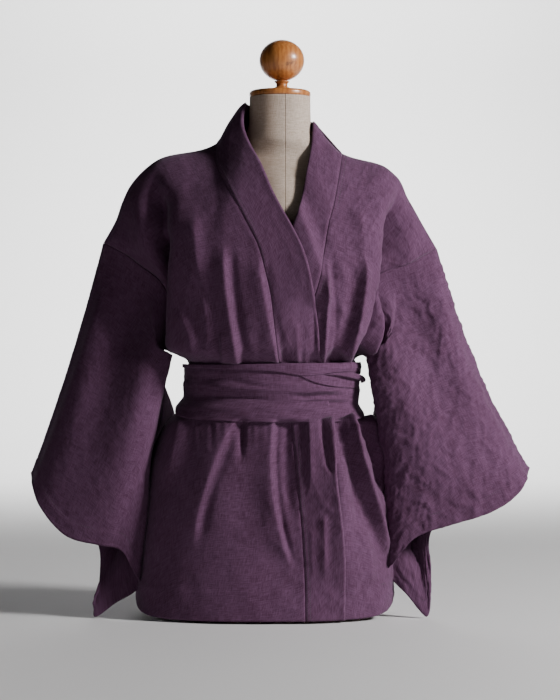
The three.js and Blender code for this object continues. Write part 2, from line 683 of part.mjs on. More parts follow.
add('belt_main', sashRing(40, 5), plum);
add('belt_upper', sashStrip(18, 2), plum);
add('belt_twist', sashTwist(8, 10), plum);
add('belt_knot', sashKnot(8, 14), plum);
add('belt_tail_right', sashTail(tails.right, 4, 10), plum);
add('belt_tail_left', sashTail(tails.left, 4, 10), plum);

// Form

function formPoint(z, angle) {
  const across = Math.cos(angle);
  const deep = Math.sin(angle);
  const squash = (value) => Math.sign(value) * Math.abs(value) ** 0.9;
  const depth = column(formSections, 'z', deep < 0 ? 'front' : 'back', z);
  const x = column(formSections, 'z', 'x', z) + squash(across) * column(formSections, 'z', 'half', z);
  const lean = -x * shoulderLean * ease(560, 700, z) * (1 - ease(775, 815, z));
  return new THREE.Vector3(x, squash(deep) * depth, z + lean);
}

function loftGeometry(levels, columns, pointAt) {
  const positions = [];
  const index = [];
  const first = levels[0];
  const last = levels[levels.length - 1];
  for (const level of levels) {
    for (let i = 0; i < columns; i += 1) {
      positions.push(...pointAt(level, (i / columns) * Math.PI * 2).toArray());
    }
  }
  const centre = (level) => {
    const a = pointAt(level, 0);
    return a.add(pointAt(level, Math.PI)).multiplyScalar(0.5);
  };
  positions.push(...centre(first).toArray(), ...centre(last).toArray());
  const end = levels.length * columns;
  for (let i = 0; i < columns; i += 1) {
    const next = (i + 1) % columns;
    for (let j = 0; j < levels.length - 1; j += 1) {
      const a = j * columns;
      const b = a + columns;
      index.push(a + i, b + i, b + next, a + i, b + next, a + next);
    }
    const top = (levels.length - 1) * columns;
    index.push(end, i, next, end + 1, top + next, top + i);
  }
  return facingOut(positions, index);
}

add('form_body', loftGeometry(formSections.map((row) => row.z), 24, formPoint), linen);

function turned(name, profile, x, z, finish) {
  const geometry = new THREE.LatheGeometry(profile.map((p) => new THREE.Vector2(...p)), 20);
  geometry.rotateX(Math.PI / 2);
  geometry.translate(x, 0, z);
  add(name, geometry, finish);
}

const postTop = formSections[formSections.length - 1].z - baseHeight - 2 * seamGap;
turned('form_base', [[0, 0], [baseRadius - 2, 0], [baseRadius, 2], [baseRadius, 8], [60, 11],
  [34, baseHeight], [0, baseHeight]], 0, 0, wood);
turned('form_post', [[0, 0], [postRadius + 4, 0], [postRadius + 4, 6], [postRadius, 12],
  [postRadius - 3, 30], [postRadius, postTop - 8], [postRadius, postTop], [0, postTop]],
0, baseHeight + seamGap, wood);
turned('form_cap', [[0, 0], [capRadius - 1, 0], [capRadius, 2], [capRadius, capHeight - 4],
  [capRadius - 4, capHeight - 1], [30, capHeight], [0, capHeight]], 0, neckTop + seamGap, wood);
turned('form_spindle', [[0, 0], [14, 0], [14, 3], [9, 6], [9, spindleHeight - 3],
  [12, spindleHeight], [0, spindleHeight]], finialX, neckTop + capHeight + 2 * seamGap, wood);

const ball = new THREE.SphereGeometry(ballWidth / 2, 20, 12);
ball.rotateX(Math.PI / 2);
ball.scale(1, 1, ballHeight / ballWidth);
ball.translate(finialX, 0, neckTop + capHeight + spindleHeight + ballHeight / 2 + 3 * seamGap);
add('form_ball', ball, wood);

export default group;
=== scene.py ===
import math

import bpy
import numpy as np
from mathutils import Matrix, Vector


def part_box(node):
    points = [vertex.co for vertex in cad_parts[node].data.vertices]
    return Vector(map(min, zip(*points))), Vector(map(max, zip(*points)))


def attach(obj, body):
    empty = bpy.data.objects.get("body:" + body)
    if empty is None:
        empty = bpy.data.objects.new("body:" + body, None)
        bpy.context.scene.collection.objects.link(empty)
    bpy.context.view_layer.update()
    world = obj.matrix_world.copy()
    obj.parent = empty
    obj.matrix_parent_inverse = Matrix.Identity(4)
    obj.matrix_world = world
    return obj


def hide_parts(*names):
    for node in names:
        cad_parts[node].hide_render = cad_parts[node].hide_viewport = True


# The looks of a short linen kimono with a sash, worn by a limbless dress form.
# Sizes are in millimetres until a mesh is made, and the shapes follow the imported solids:
# the front faces -Y, and left and right in the names are the wearer's.

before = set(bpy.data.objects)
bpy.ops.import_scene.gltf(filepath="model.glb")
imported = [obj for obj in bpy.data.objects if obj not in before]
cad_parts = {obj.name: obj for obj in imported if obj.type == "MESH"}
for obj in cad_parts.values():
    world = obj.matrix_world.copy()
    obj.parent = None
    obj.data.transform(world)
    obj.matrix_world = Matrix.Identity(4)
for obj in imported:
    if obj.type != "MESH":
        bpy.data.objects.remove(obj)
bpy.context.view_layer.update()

MM = 0.001
FRONT = -1
BACK = 1
UNDERARM = 430            # where the armhole seam meets the side seam
HEM = 4                   # lowest point of the hem
HEM_SIDE_RISE = 42
BACK_HEM_RISE = 8
SIDE_TUCK_RISE = 5
ARMHOLE_BOW = 34
ROUNDNESS = 0.75          # below 1 makes the sections fuller than an ellipse
BAND_HALF = 0.30          # seam of the neck band on the shoulder, as a share across
EDGE_HALF = 0.14          # free edge of the neck band on the shoulder
NECK_DROP = 0.17          # depth of the back neckline, as a share of the way down
LAYER = 2.9               # from one layer of cloth to the next one on it
COVERED_SINK = 5.6        # how far the under front sinks in where it is hidden
EDGE_RECESS = 7           # and beside the over front's free edge, just below the sash
SASH_LIFT = 8.1           # inner face of the sash over the back's layer
SASH_FLAT_TOP = 386
NECK_RADIUS = 49
NECK_TOP = 826
CLOTH = 1.5               # thickness of the linen shells
HOLLOW = 0.35             # valley at the steep side of a fold, as a share of the fold's height
SHOULDER_HOLD = 0.035     # way down over which the relief grows from none at the shoulder seam
HEM_FOLD = 46             # height of the turned hem, up to its line of stitches
BAND_STITCHES = (3, 8)    # lines of stitches beside the seam of a band
FRONT_STITCH = 7          # line of stitches of the under front beside its band
SHOULDER_STITCH = 6       # line of stitches of the back below the shoulder
CUFF_FOLD = 25            # width of the turned cuff, up to its line of stitches
BAND_CRUSH = 0.7          # share of the small creases that the doubled bands keep
EDGE_ROLL = 1.1           # how much thicker a band is than its pressed edges
EDGE_WIDTH = 3            # width of a pressed edge
NO_STITCH = 99.0          # distance to a line of stitches where there is none


class Table:
    """Rows of numbers by column name, read on a smooth curve through the rows."""

    def __init__(self, names, rows):
        self.rows = np.array(rows, float)
        self.names = names.split()

    def at(self, name, place):
        keys = self.rows[:, 0]
        values = self.rows[:, self.names.index(name)]
        up = 1 if keys[-1] > keys[0] else -1
        place = np.asarray(place, float)
        i = np.searchsorted(up * keys[1:-1], up * place, side="left")
        span = keys[i + 1] - keys[i]
        t = np.clip((place - keys[i]) / span, 0, 1)
        lo = np.maximum(np.arange(len(keys)) - 1, 0)
        hi = np.minimum(np.arange(len(keys)) + 1, len(keys) - 1)
        slope = (values[hi] - values[lo]) / (keys[hi] - keys[lo])
        t2, t3 = t * t, t * t * t
        return ((2 * t3 - 3 * t2 + 1) * values[i] + (t3 - 2 * t2 + t) * slope[i] * span
                + (3 * t2 - 2 * t3) * values[i + 1] + (t3 - t2) * slope[i + 1] * span)


# Lines and sections of the worn garment, as in the solids

SHOULDERS = Table("across x z", [
    (-1, -281, 593), (-0.92, -262, 627), (-0.84, -251, 658), (-0.76, -237, 686), (-0.67, -213, 712),
    (-0.57, -186, 729), (-0.30, -102, 750), (-0.22, -78, 790), (-0.14, -54, 817), (0, 0, 818),
    (0.14, 53, 787), (0.22, 73, 760), (0.30, 99, 735), (0.57, 163, 716), (0.67, 184, 700),
    (0.76, 198, 683), (0.84, 210, 654), (0.92, 227, 622), (1, 249, 584),
])
BODY = Table("z left right front back", [
    (820, -200, 178, 58, 60), (750, -200, 178, 66, 76), (700, -200, 178, 90, 94),
    (650, -200, 178, 106, 106), (600, -201, 178, 117, 112), (550, -202, 178, 123, 114),
    (500, -203, 178, 122, 113), (450, -203, 178, 120, 112), (424, -198, 165, 118, 109),
    (414, -172, 134, 112, 101), (404, -148, 119, 105.5, 95), (396, -145, 118, 104.5, 94),
    (372, -144, 117, 103, 92), (345, -148, 117, 103, 92), (322, -164, 124, 105, 94),
    (306, -179, 144, 108, 98), (284, -192, 158, 112, 104), (246, -205, 173, 116, 110),
    (150, -216, 178, 123, 118), (50, -226, 179, 129, 124), (0, -230, 180, 131, 126),
])
OVER_SEAM = Table("z x", [
    (750, -102), (715, -99), (668, -77), (627, -56), (583, -34), (544, -23), (509, -15), (454, -8),
    (408, -2), (305, 17), (217, 26), (154, 32), (76, 37), (0, 38),
])
OVER_EDGE = Table("z x", [
    (817, -54), (780, -57), (743, -46), (706, -28), (666, -11), (634, 6), (613, 18), (582, 33),
    (551, 43), (499, 53), (454, 59), (411, 62), (311, 79), (264, 81), (217, 83), (153, 90),
    (107, 94), (0, 100),
])
UNDER_SEAM = Table("z x", [
    (735, 99), (689, 91), (647, 83), (617, 75), (574, 68), (520, 56), (454, 32), (408, 8), (300, 0),
    (200, -18), (0, -34),
])
UNDER_EDGE = Table("z x", [
    (787, 53), (744, 49), (706, 42), (656, 33), (615, 20), (560, -4), (500, -25), (454, -42),
    (408, -54), (300, -60), (200, -78), (0, -96),
])
RIGHT_CUFF = Table("around x y z", [
    (0, -395, -5, 225), (0.08, -377, -38, 176), (0.17, -337, -58, 132), (0.28, -285, -67, 117),
    (0.38, -250, -60, 108), (0.44, -237, -50, 78), (0.50, -233, -42, 46), (0.57, -262, -54, 24),
    (0.64, -293, -60, 4), (0.72, -286, -40, 56), (0.80, -292, -14, 118), (0.90, -345, 18, 186),
    (1, -395, -5, 225),
])
LEFT_CUFF = Table("around x y z", [
    (0, 396, -5, 232), (0.08, 374, -38, 196), (0.17, 330, -58, 168), (0.28, 262, -67, 147),
    (0.38, 212, -62, 128), (0.44, 190, -52, 96), (0.50, 183, -42, 66), (0.57, 204, -52, 36),
    (0.64, 232, -60, 4), (0.72, 238, -42, 66), (0.80, 244, -14, 138), (0.90, 330, 18, 196),
    (1, 396, -5, 232),
])
SASH = Table("across top bottom strip", [
    (-1, 399, 338, 394), (-0.8, 399, 322, 394), (-0.5, 398, 314, 393), (0, 400, 310, 389),
    (0.25, 401, 310, 382), (0.47, 401, 311, 386.5), (0.7, 402, 314, 388), (1, 402, 324, 382),
])
FORM = Table("z x half front back", [
    (826, 0, 48.5, 48, 48), (800, 0, 49, 49, 49), (775, 0, 51, 50, 52), (755, 0, 62, 50, 54),
    (742, 0, 80, 42, 48), (732, 0, 102, 38, 42), (725, 0, 125, 38, 42), (716, -2, 148, 42, 46),
    (704, -4, 164, 48, 54), (690, -6, 172, 56, 68), (650, -8, 168, 76, 80), (600, -10, 158, 96, 90),
    (550, -10, 152, 108, 94), (500, -12, 146, 106, 92), (450, -13, 134, 98, 88),
    (400, -14, 122, 94, 84), (350, -14, 120, 93, 84), (300, -12, 134, 98, 88),
    (240, -10, 148, 104, 94), (160, -6, 154, 106, 98), (84, 0, 150, 102, 96), (72, 0, 140, 92, 88),
])

# Folds of each face: x and z of the top and the bottom point, bow, left, right, height and fade.
# bow is how far the middle swings to +X, left and right are the widths of the two flanks, height is
# below zero for a valley, and fade is where along the fold it starts to die out.

FRONT_FOLDS = [
    # valleys beside the sleeves
    (-196, 712, -204, 432, 0, 13, 13, -20, 0.4), (192, 700, 182, 432, 0, 12, 12, -18, 0.4),
    (-188, 682, -190, 540, 0, 15, 15, -20, 0.5), (-191, 620, -199, 420, 0, 11, 11, -44, 0.97),
    (186, 664, 177, 420, -4, 11, 11, -44, 0.97),
    # above the sash
    (-86, 590, -61, 396, -5, 22, 5, 8, 0.97), (-90, 450, -88, 396, 0, 2.5, 18, 4, 0.95),
    (-120, 510, -114, 396, 5, 14, 9, 3, 0.9), (-34, 570, -2, 396, -2, 26, 4.5, 7, 0.97),
    (24, 470, 28, 396, 0, 6, 6, 2, 0.9), (72, 570, 65, 396, 3, 4, 3.5, 8, 0.97),
    (132, 570, 98, 396, 8, 7, 11, 12, 0.95), (158, 530, 104, 396, 14, 5, 5, -12, 0.97),
    (168, 520, 118, 396, 16, 5, 9, 10, 0.95), (-160, 490, -134, 400, 8, 12, 8, 4, 0.9),
    (50, 500, 52, 400, 2, 7, 4, -3, 0.9), (84, 520, 80, 398, 5, 5, 7, -5, 0.9),
    (-130, 640, -110, 500, -8, 16, 10, 4, 0.5), (120, 650, 126, 520, 6, 12, 14, 4, 0.5),
    (-44, 790, 80, 480, 11, 46, 9, 9, 0.9),
    # under the sash
    (82, 322, 101, 0, -3, 40, 44, 17, 0.65), (-66, 322, -134, 110, -11, 26, 5, 5.5, 0.75),
    (-58, 322, -60, 240, 0, 5, 5, -9, 0.4), (-9, 322, 18, 80, -15, 26, 3.2, 9, 0.8),
    (14, 322, 24, 130, -8, 12, 14, -6, 0.6), (40, 322, 44, 190, 2, 3, 10, 5, 0.6),
    (73, 322, 80, 232, 0, 6, 5, 3, 0.75), (60, 322, 76, 225, -2, 4, 4, -6, 0.8),
    (98, 322, 168, 90, 0, 7, 9, 18, 0.75), (113, 322, 156, 188, 14, 9, 8, -16, 0.75),
    (126, 322, 160, 200, 14, 5, 8, 6, 0.6), (106, 260, 118, 130, 0, 8, 9, -7, 0.6),
    (-150, 318, -172, 200, -4, 16, 10, 5, 0.6), (64, 170, 66, 60, 0, 6, 4, 3, 0.6),
    (46, 150, 50, 60, 0, 5, 5, 1.6, 0.6), (130, 150, 140, 40, 0, 12, 8, 4, 0.6),
]
BACK_FOLDS = [
    # valleys beside the sleeves
    (-196, 712, -204, 432, 0, 13, 13, -20, 0.4), (192, 700, 182, 432, 0, 12, 12, -18, 0.4),
    (-192, 690, -204, 440, 0, 7, 14, -10, 0.8), (188, 680, 180, 440, 0, 14, 7, -10, 0.8),
    # above and under the sash
    (-88, 610, -60, 398, -6, 16, 8, 9, 0.95), (84, 600, 52, 398, 6, 8, 16, 9, 0.95),
    (-8, 520, -12, 398, 3, 9, 9, 7, 0.95), (-40, 520, -34, 398, 2, 7, 5, 5, 0.9),
    (26, 540, 20, 398, -3, 5, 8, 5, 0.9), (-120, 520, -96, 398, -4, 8, 5, 5.5, 0.9),
    (104, 520, 80, 398, 5, 5, 8, 5.5, 0.9), (-78, 318, -146, -40, -10, 19, 12, 12, 0.7),
    (-22, 318, -44, -60, 6, 12, 16, 11, 0.7), (48, 318, 70, -60, 8, 17, 12, 12, 0.7),
    (98, 318, 146, -10, 8, 12, 15, 9, 0.7), (-110, 318, -150, 120, -6, 9, 6, 5, 0.6),
    (14, 318, 18, 150, 3, 6, 8, 5, 0.6), (74, 318, 102, 140, 4, 5, 8, 5, 0.6),
]


def lerp(a, b, t):
    return a + (b - a) * t


def ease(start, end, value):
    t = np.clip((np.asarray(value, float) - start) / (end - start), 0, 1)
    return t * t * (3 - 2 * t)


def bell(off, width):
    """A smooth hump, 1 at its middle and nearly 0 beyond two widths."""
    return np.exp(-((off / width) ** 2))


def grid(rows, columns):
    """The row's and the column's place at each point of a grid."""
    return np.meshgrid(rows, columns, indexing="ij")


def circle(sides):
    return np.linspace(0, 2 * math.pi, sides, endpoint=False)


def noise(u, v, seed):
    """A smooth random field from -1 to 1, with cells one unit wide."""
    size = 64
    lattice = np.random.default_rng(seed).uniform(-1, 1, (size, size))
    iu, iv = np.floor(u).astype(int), np.floor(v).astype(int)
    fu, fv = u - iu, v - iv
    fu, fv = fu * fu * (3 - 2 * fu), fv * fv * (3 - 2 * fv)
    corner = [[lattice[(iu + a) % size, (iv + b) % size] for b in (0, 1)] for a in (0, 1)]
    return lerp(lerp(corner[0][0], corner[1][0], fu), lerp(corner[0][1], corner[1][1], fu), fv)


def rumple(u, v, seed):
    """Creased cloth from -0.2 to 0.8: the sharp ridges of three turned fields."""
    field = -0.2
    for k, turn in enumerate((0.5, -0.7, 1.3)):
        a = u * math.cos(turn) + v * math.sin(turn)
        b = -u * math.sin(turn) + v * math.cos(turn)
        field += (1 - np.abs(noise(a * 1.3 ** k, b * 0.45 * 1.3 ** k, seed + k))) ** 3 / 3
    return field


# The worn body surface. across runs from -1 to 1 between the side seams, and down from 0 at the
# shoulder line over 1 at the underarm to 2 at the hem.


def hem_rise(face, across):
    power = 6 if face == FRONT else 4
    side = np.abs(across) ** power
    extra = BACK_HEM_RISE if face == BACK else 0
    return extra * (1 - side) + HEM_SIDE_RISE * side


def body_height(face, across, down):
    upper = lerp(SHOULDERS.at("z", across), UNDERARM, down)
    t = np.maximum(down - 1, 0)
    lower = lerp(UNDERARM, HEM, t) + hem_rise(face, across) * t ** 4
    return np.where(down < 1, upper, lower)


def down_at(z):
    return 1 + (UNDERARM - z) / (UNDERARM - HEM)


def fold_height(face, x, z):
    total = np.zeros_like(x)
    for x0, z0, x1, z1, bow, left, right, height, fade in FRONT_FOLDS if face == FRONT else BACK_FOLDS:
        t = (z0 - z) / (z0 - z1)
        off = x - lerp(x0, x1, t) - bow * 4 * t * (1 - t)
        start = 14 if z0 < UNDERARM and face == FRONT else 0.22 * (z0 - z1)
        share = ease(0, start, z0 - z) * (1 - ease(fade, 1, t)) * (t > 0) * (t < 1)
        crest = np.exp(-(np.abs(off / np.where(off < 0, left, right)) ** 1.5))
        steep = min(left, right)
        hollow = bell(off * np.sign(left - right) - 2.3 * steep, 1.5 * steep)
        total += height * share * (crest - HOLLOW * (left != right) * hollow)
    belted = ease(308, 317, z) * (1 - ease(402, 410, z))
    return total * (1 - belted)


def body_base(face, across, down):
    z = body_height(face, across, down)
    side = ease(0.35, 0.8, np.abs(across))
    level = z - SIDE_TUCK_RISE * side * ease(385, 405, z) * (1 - ease(430, 475, z))
    left, right = BODY.at("left", level), BODY.at("right", level)
    depth = BODY.at("front" if face == FRONT else "back", level)
    angle = across * math.pi / 2
    section = (left + right) / 2 + np.sin(angle) * (right - left) / 2
    round_off = np.maximum(0, np.cos(angle)) ** ROUNDNESS
    t = np.clip(down, 0, 1)
    pull = 1 - (1 - t) ** (1 + 4 * np.abs(across) ** 6)
    x = lerp(SHOULDERS.at("x", across), section, pull)
    forward = np.sin(np.minimum(1, t / 0.5) * math.pi / 2) ** 0.42
    bow = ARMHOLE_BOW * np.maximum(0, np.sin(math.pi * t)) ** 0.6 * across ** 4
    return np.stack([x, face * (depth * round_off * forward + bow), z], -1)


def unit(vectors):
    length = np.linalg.norm(vectors, axis=-1, keepdims=True)
    return vectors / np.maximum(length, 1e-9)


def normal_of(surface, u, v, u_range, v_range):
    """Unit normals of a surface from small steps that stay inside its ranges."""
    step = 1e-3
    du = surface(np.minimum(u_range[1], u + step), v) - surface(np.maximum(u_range[0], u - step), v)
    dv = surface(u, np.minimum(v_range[1], v + step)) - surface(u, np.maximum(v_range[0], v - step))
    return unit(np.cross(du, dv))


def both_faces(front, frame_on):
    """Points and normals on the front where front is true, and on the back elsewhere."""
    return [np.where(front[..., None], f, b) for f, b in zip(frame_on(FRONT), frame_on(BACK))]


def body_frame(face, across, down):
    """Points of the body's inner cloth surface with the main folds, and outward normals."""
    across, down = np.broadcast_arrays(np.asarray(across, float), np.asarray(down, float))
    base = lambda u, v: body_base(face, u, v)
    point = base(across, down)
    normal = normal_of(base, across, down, (-1, 1), (0, 2)) * face
    point = point + normal * fold_height(face, point[..., 0], point[..., 2])[..., None]
    point[..., 1] = face * np.maximum(face * point[..., 1], 0) + face * 0.2
    share = ease(0.88, 1, np.abs(across)) * ease(0.02, 0.2, down) * (1 - ease(0.75, 0.98, down))
    mitre = np.stack([np.sign(across) * 0.5, np.full_like(across, face * 0.85), np.zeros_like(across)], -1)
    return point, unit(lerp(normal, mitre, share[..., None]))


def line_across(line, down):
    """Share across where a line of the neck bands crosses each row of the front."""
    lo, hi = np.full_like(down, -0.75), np.full_like(down, 0.75)
    for _ in range(30):
        middle = (lo + hi) / 2
        point = body_base(FRONT, middle, down)
        inside = point[..., 0] < line.at("x", point[..., 2])
        lo, hi = np.where(inside, middle, lo), np.where(inside, hi, middle)
    return (lo + hi) / 2


def over_lift(across, down):
    return LAYER * ease(-0.95, -0.6, across) * ease(0.08, 0.4, down)


# Fine relief of the linen: soft unevenness, small creases, and gathers by the sash


def linen_relief(x, z, seed, crush=1.0):
    soft = 1.2 * noise(x / 46, z / 90, seed) + 0.6 * noise(x / 17, z / 42, seed + 1)
    small = 1.8 * rumple(x / 30, z / 34, seed + 2) + 0.9 * rumple(x / 12, z / 15, seed + 6)
    return soft + crush * small


def sash_gathers(x, z, seed):
    near = bell(z - 400, 26) * (z > 396) + bell(z - 312, 34) * (z < 316)
    return 1.8 * near * noise(x / 6.5, z / 120, seed)


def drape(face, x, z, crush=1.0):
    """Relief of a body panel by place, the same for the layers that lie on each other."""
    seed = 11 if face == FRONT else 31
    belted = ease(306, 316, z) * (1 - ease(400, 406, z))
    crush = crush * lerp(0.45, 2.1, ease(-60, 130, x))
    return (linen_relief(x, z, seed, crush) + sash_gathers(x, z, seed + 9)) * (1 - belted)


def edge_distances(points):
    """Distances in the cloth from the first and the last column, and from the first and the last row."""
    step = np.linalg.norm(np.diff(points, axis=1), axis=-1)
    along = np.concatenate([np.zeros((len(points), 1)), np.cumsum(step, axis=1)], axis=1)
    drop = np.linalg.norm(np.diff(points, axis=0), axis=-1)
    down = np.concatenate([np.zeros((1, points.shape[1])), np.cumsum(drop, axis=0)])
    return along, along[:, -1:] - along, down, down[-1:] - down


def seam_dip(distance):
    """A seam pulls the cloth in at its line and swells it a little beside it."""
    return -0.1 * bell(distance, 1.4) + 0.3 * bell(distance - 5, 3)


plum_pieces = []


def add_piece(name, mesh, node=None):
    """Puts a mesh into the scene as a piece of its own, which stands for a node of the solids."""
    mesh.shade_smooth()
    piece = bpy.data.objects.new(name, mesh)
    bpy.context.scene.collection.objects.link(piece)
    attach(piece, "root")
    if node:
        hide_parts(node)
    return piece


def add_cloth(name, mesh, uv, stitch, has_node=True):
    """Adds a piece of plum linen. uv is its place in the cut cloth, and stitch holds at each vertex
    the distances to the nearest lines of stitches along and across."""
    mesh.uv_layers.new(name="cut").data.foreach_set("uv", uv.astype(np.float32).ravel())
    mesh.attributes.new("stitch", "FLOAT_VECTOR", "POINT")
    mesh.attributes["stitch"].data.foreach_set("vector", stitch.astype(np.float32).ravel())
    plum_pieces.append(add_piece(f"{name}_cloth", mesh, name if has_node else None))


def shell_corners(rows, columns, closed):
    """Wall (0 outer, 1 inner), row and column of the four corners of each face of a shell."""
    j, i = grid(np.arange(rows - 1), np.arange(columns - 1))
    left, right = np.arange(columns - 1), np.arange(1, columns)
    high, low = np.arange(rows - 1), np.arange(1, rows)
    bottom, last = rows - 1, columns - 1
    groups = [
        [(0, j, i), (0, j, i + 1), (0, j + 1, i + 1), (0, j + 1, i)],
        [(1, j, i), (1, j + 1, i), (1, j + 1, i + 1), (1, j, i + 1)],
        [(0, 0, right), (0, 0, left), (1, 0, left), (1, 0, right)],
        [(0, bottom, left), (0, bottom, right), (1, bottom, right), (1, bottom, left)],
    ]
    if not closed:
        groups.append([(0, high, 0), (0, low, 0), (1, low, 0), (1, high, 0)])
        groups.append([(0, low, last), (0, high, last), (1, high, last), (1, low, last)])
    corners = [[np.stack(np.broadcast_arrays(*corner), -1).reshape(-1, 3) for corner in group]
               for group in groups]
    return np.concatenate([np.stack(group, 1) for group in corners])


def cloth_object(name, points, normals, lift, closed=False, stitches=(), cross_stitches=(), wall=CLOTH,
                 plain=None, has_node=True):
    """A thin closed shell of linen over a grid of points. A closed one is a tube, plain is the same
    surface without folds, and the stitches are distances from their lines along and across."""
    rows, used = points.shape[:2]
    lift = np.broadcast_to(lift, (rows, used))[..., None]
    vertices = np.concatenate([points + normals * (lift + wall), points + normals * lift])
    vertices = vertices.reshape(-1, 3) * MM
    plain = points if plain is None else plain
    if closed:
        plain = np.concatenate([plain, plain[:, :1]], axis=1)
    along, _, down, _ = edge_distances(plain)
    layer, row, column = np.moveaxis(shell_corners(rows, plain.shape[1], closed), -1, 0)
    faces = (layer * rows + row) * used + column % used
    uv = np.stack([along[row, column], down[row, column]], -1) * MM
    a, b, c, d = (vertices[faces[:, k]] for k in range(4))
    inside_out = np.einsum("ij,ij->i", a, np.cross(b - a, c - a) + np.cross(c - a, d - a)).sum() < 0
    if inside_out:
        faces, uv = faces[:, ::-1], uv[:, ::-1]
    stitch = np.full((rows, used, 3), NO_STITCH)
    for k, lines in enumerate((stitches, cross_stitches)):
        for distance in lines:
            stitch[..., k] = np.minimum(stitch[..., k], np.abs(distance))
    mesh = bpy.data.meshes.new(f"{name}_cloth")
    mesh.from_pydata(vertices.tolist(), [], faces.tolist())
    add_cloth(name, mesh, uv, np.stack([stitch, stitch]), has_node)


def panel_rows():
    """Places down a body panel, close together where the cloth turns at the sash."""
    yoke = np.linspace(0, 1, 101) ** 1.2
    levels = np.concatenate([np.arange(428, 380, -2), np.arange(378, 326, -12), np.arange(325, 5, -3)])
    return np.concatenate([yoke, down_at(levels), [2.0]])


DOWNS = panel_rows()


def neck_dip(across):
    """How far down the back neckline lies at each place across."""
    return NECK_DROP * np.sqrt(np.clip(1 - (across / BAND_HALF) ** 2, 0, 1))


def make_panel(name, face, across, lift, seams=(True, True), band=False, stitches=(), top_stitches=()):
    """A body panel between given places across. seams says which of its two sides are sewn, and
    the lines of stitches are given by their distance from the first side and from the top."""
    down = np.broadcast_to(DOWNS[:, None], across.shape)
    if face == BACK:
        down = down + neck_dip(across) * np.maximum(0, 1 - down)
    points, normals = body_frame(face, across, down)
    x, z = points[..., 0], points[..., 2]
    first, second, top, bottom = edge_distances(points)
    relief = drape(face, x, z, BAND_CRUSH if band else 1.0)
    for seam, distance in zip(seams, (first, second)):
        relief = relief + (seam_dip(distance) if seam else 0)
    if band and seams[0]:
        free = 1 - 0.6 * ease(300, 420, z)
        relief = relief + free * (2.6 * bell(second, 9) - 3.2 * bell(second, 2))
    if band:
        relief = relief + EDGE_ROLL * ease(0, EDGE_WIDTH, np.minimum(first, second))
    relief = relief + 0.6 * (1 - ease(HEM_FOLD - 2, HEM_FOLD + 2, bottom))
    relief = relief * ease(0, SHOULDER_HOLD, down)
    cloth_object(name, points, normals, lift(across, down) + relief,
                 plain=body_base(face, across, down), stitches=[first - line for line in stitches],
                 cross_stitches=[bottom - HEM_FOLD] + [top - line for line in top_stitches])


def between(start, end, columns):
    return lerp(start[:, None], end[:, None], np.linspace(0, 1, columns + 1)[None])


def no_lift(across, down):
    return np.zeros_like(across)


def under_lift(across, down):
    """Where the under front is covered it sinks in, most beside the over front's edge."""
    edge = line_across(OVER_EDGE, DOWNS)[:, None]
    recess = ease(1.28, 1.32, down) * (1 - ease(1.4, 1.65, down)) * bell(across - edge, 0.09)
    return -COVERED_SINK * ease(0.0, 0.1, edge - across) * ease(0.3, 0.5, down) - EDGE_RECESS * recess


def make_fronts():
    side = np.ones_like(DOWNS)
    over_seam, over_edge = (line_across(line, DOWNS) for line in (OVER_SEAM, OVER_EDGE))
    under_seam, under_edge = (line_across(line, DOWNS) for line in (UNDER_SEAM, UNDER_EDGE))
    make_panel("front_right", FRONT, between(-side, over_seam, 150), over_lift)
    make_panel("band_right", FRONT, between(over_seam, over_edge, 42), over_lift, (True, False), True,
               BAND_STITCHES)
    make_panel("band_left", FRONT, between(under_edge, under_seam, 34), under_lift, (False, True), True)
    make_panel("front_left", FRONT, between(under_seam, side, 140), under_lift, stitches=[FRONT_STITCH])


def make_back():
    across = np.concatenate([np.linspace(-1, -BAND_HALF, 54), np.linspace(-BAND_HALF, BAND_HALF, 50)[1:-1],
                             np.linspace(BAND_HALF, 1, 54)])
    across = np.broadcast_to(across, (len(DOWNS), len(across)))
    make_panel("back", BACK, across, no_lift, top_stitches=[SHOULDER_STITCH])


# The standing band across the back of the neck


def neck_band_point(along, up):
    across = lerp(-BAND_HALF, BAND_HALF, along)
    seat, _ = body_frame(BACK, across, neck_dip(across))
    edge = lerp(-EDGE_HALF, EDGE_HALF, along)
    swing = np.sqrt(np.maximum(0, np.sin(math.pi * along)))
    ends = SHOULDERS.at("z", [-EDGE_HALF, EDGE_HALF])
    top = np.stack([SHOULDERS.at("x", edge), (NECK_RADIUS + 2.8) * swing + 0.2, lerp(*ends, along)], -1)
    return lerp(seat, top, up[..., None])


def make_neck_band():
    up, along = grid(np.linspace(0.01, 1, 26), np.linspace(0, 1, 91))
    points = neck_band_point(along, up)
    normals = -normal_of(neck_band_point, along, up, (0, 1), (0, 1))
    right, left, seam, top = edge_distances(points)
    lift = 0.8 * noise(along * 9, up * 2, 51) + EDGE_ROLL * ease(0, EDGE_WIDTH, top)
    lift = lift * ease(0, 12, right) * ease(0, 12, left) + seam_dip(seam)
    cloth_object("band_neck", points, normals, lift,
                 cross_stitches=[seam - line for line in BAND_STITCHES])


# The sleeves: tubes from the armhole seam to the cuff edge

# around runs from 0 at the shoulder down the front to 0.5 at the underarm and up the back to 1.
# rail swings the outer edge to +X halfway along, inner swings the back layer's inner part to +X
# higher up, and from fold on, along the sleeve, the fold beside the body dies out.

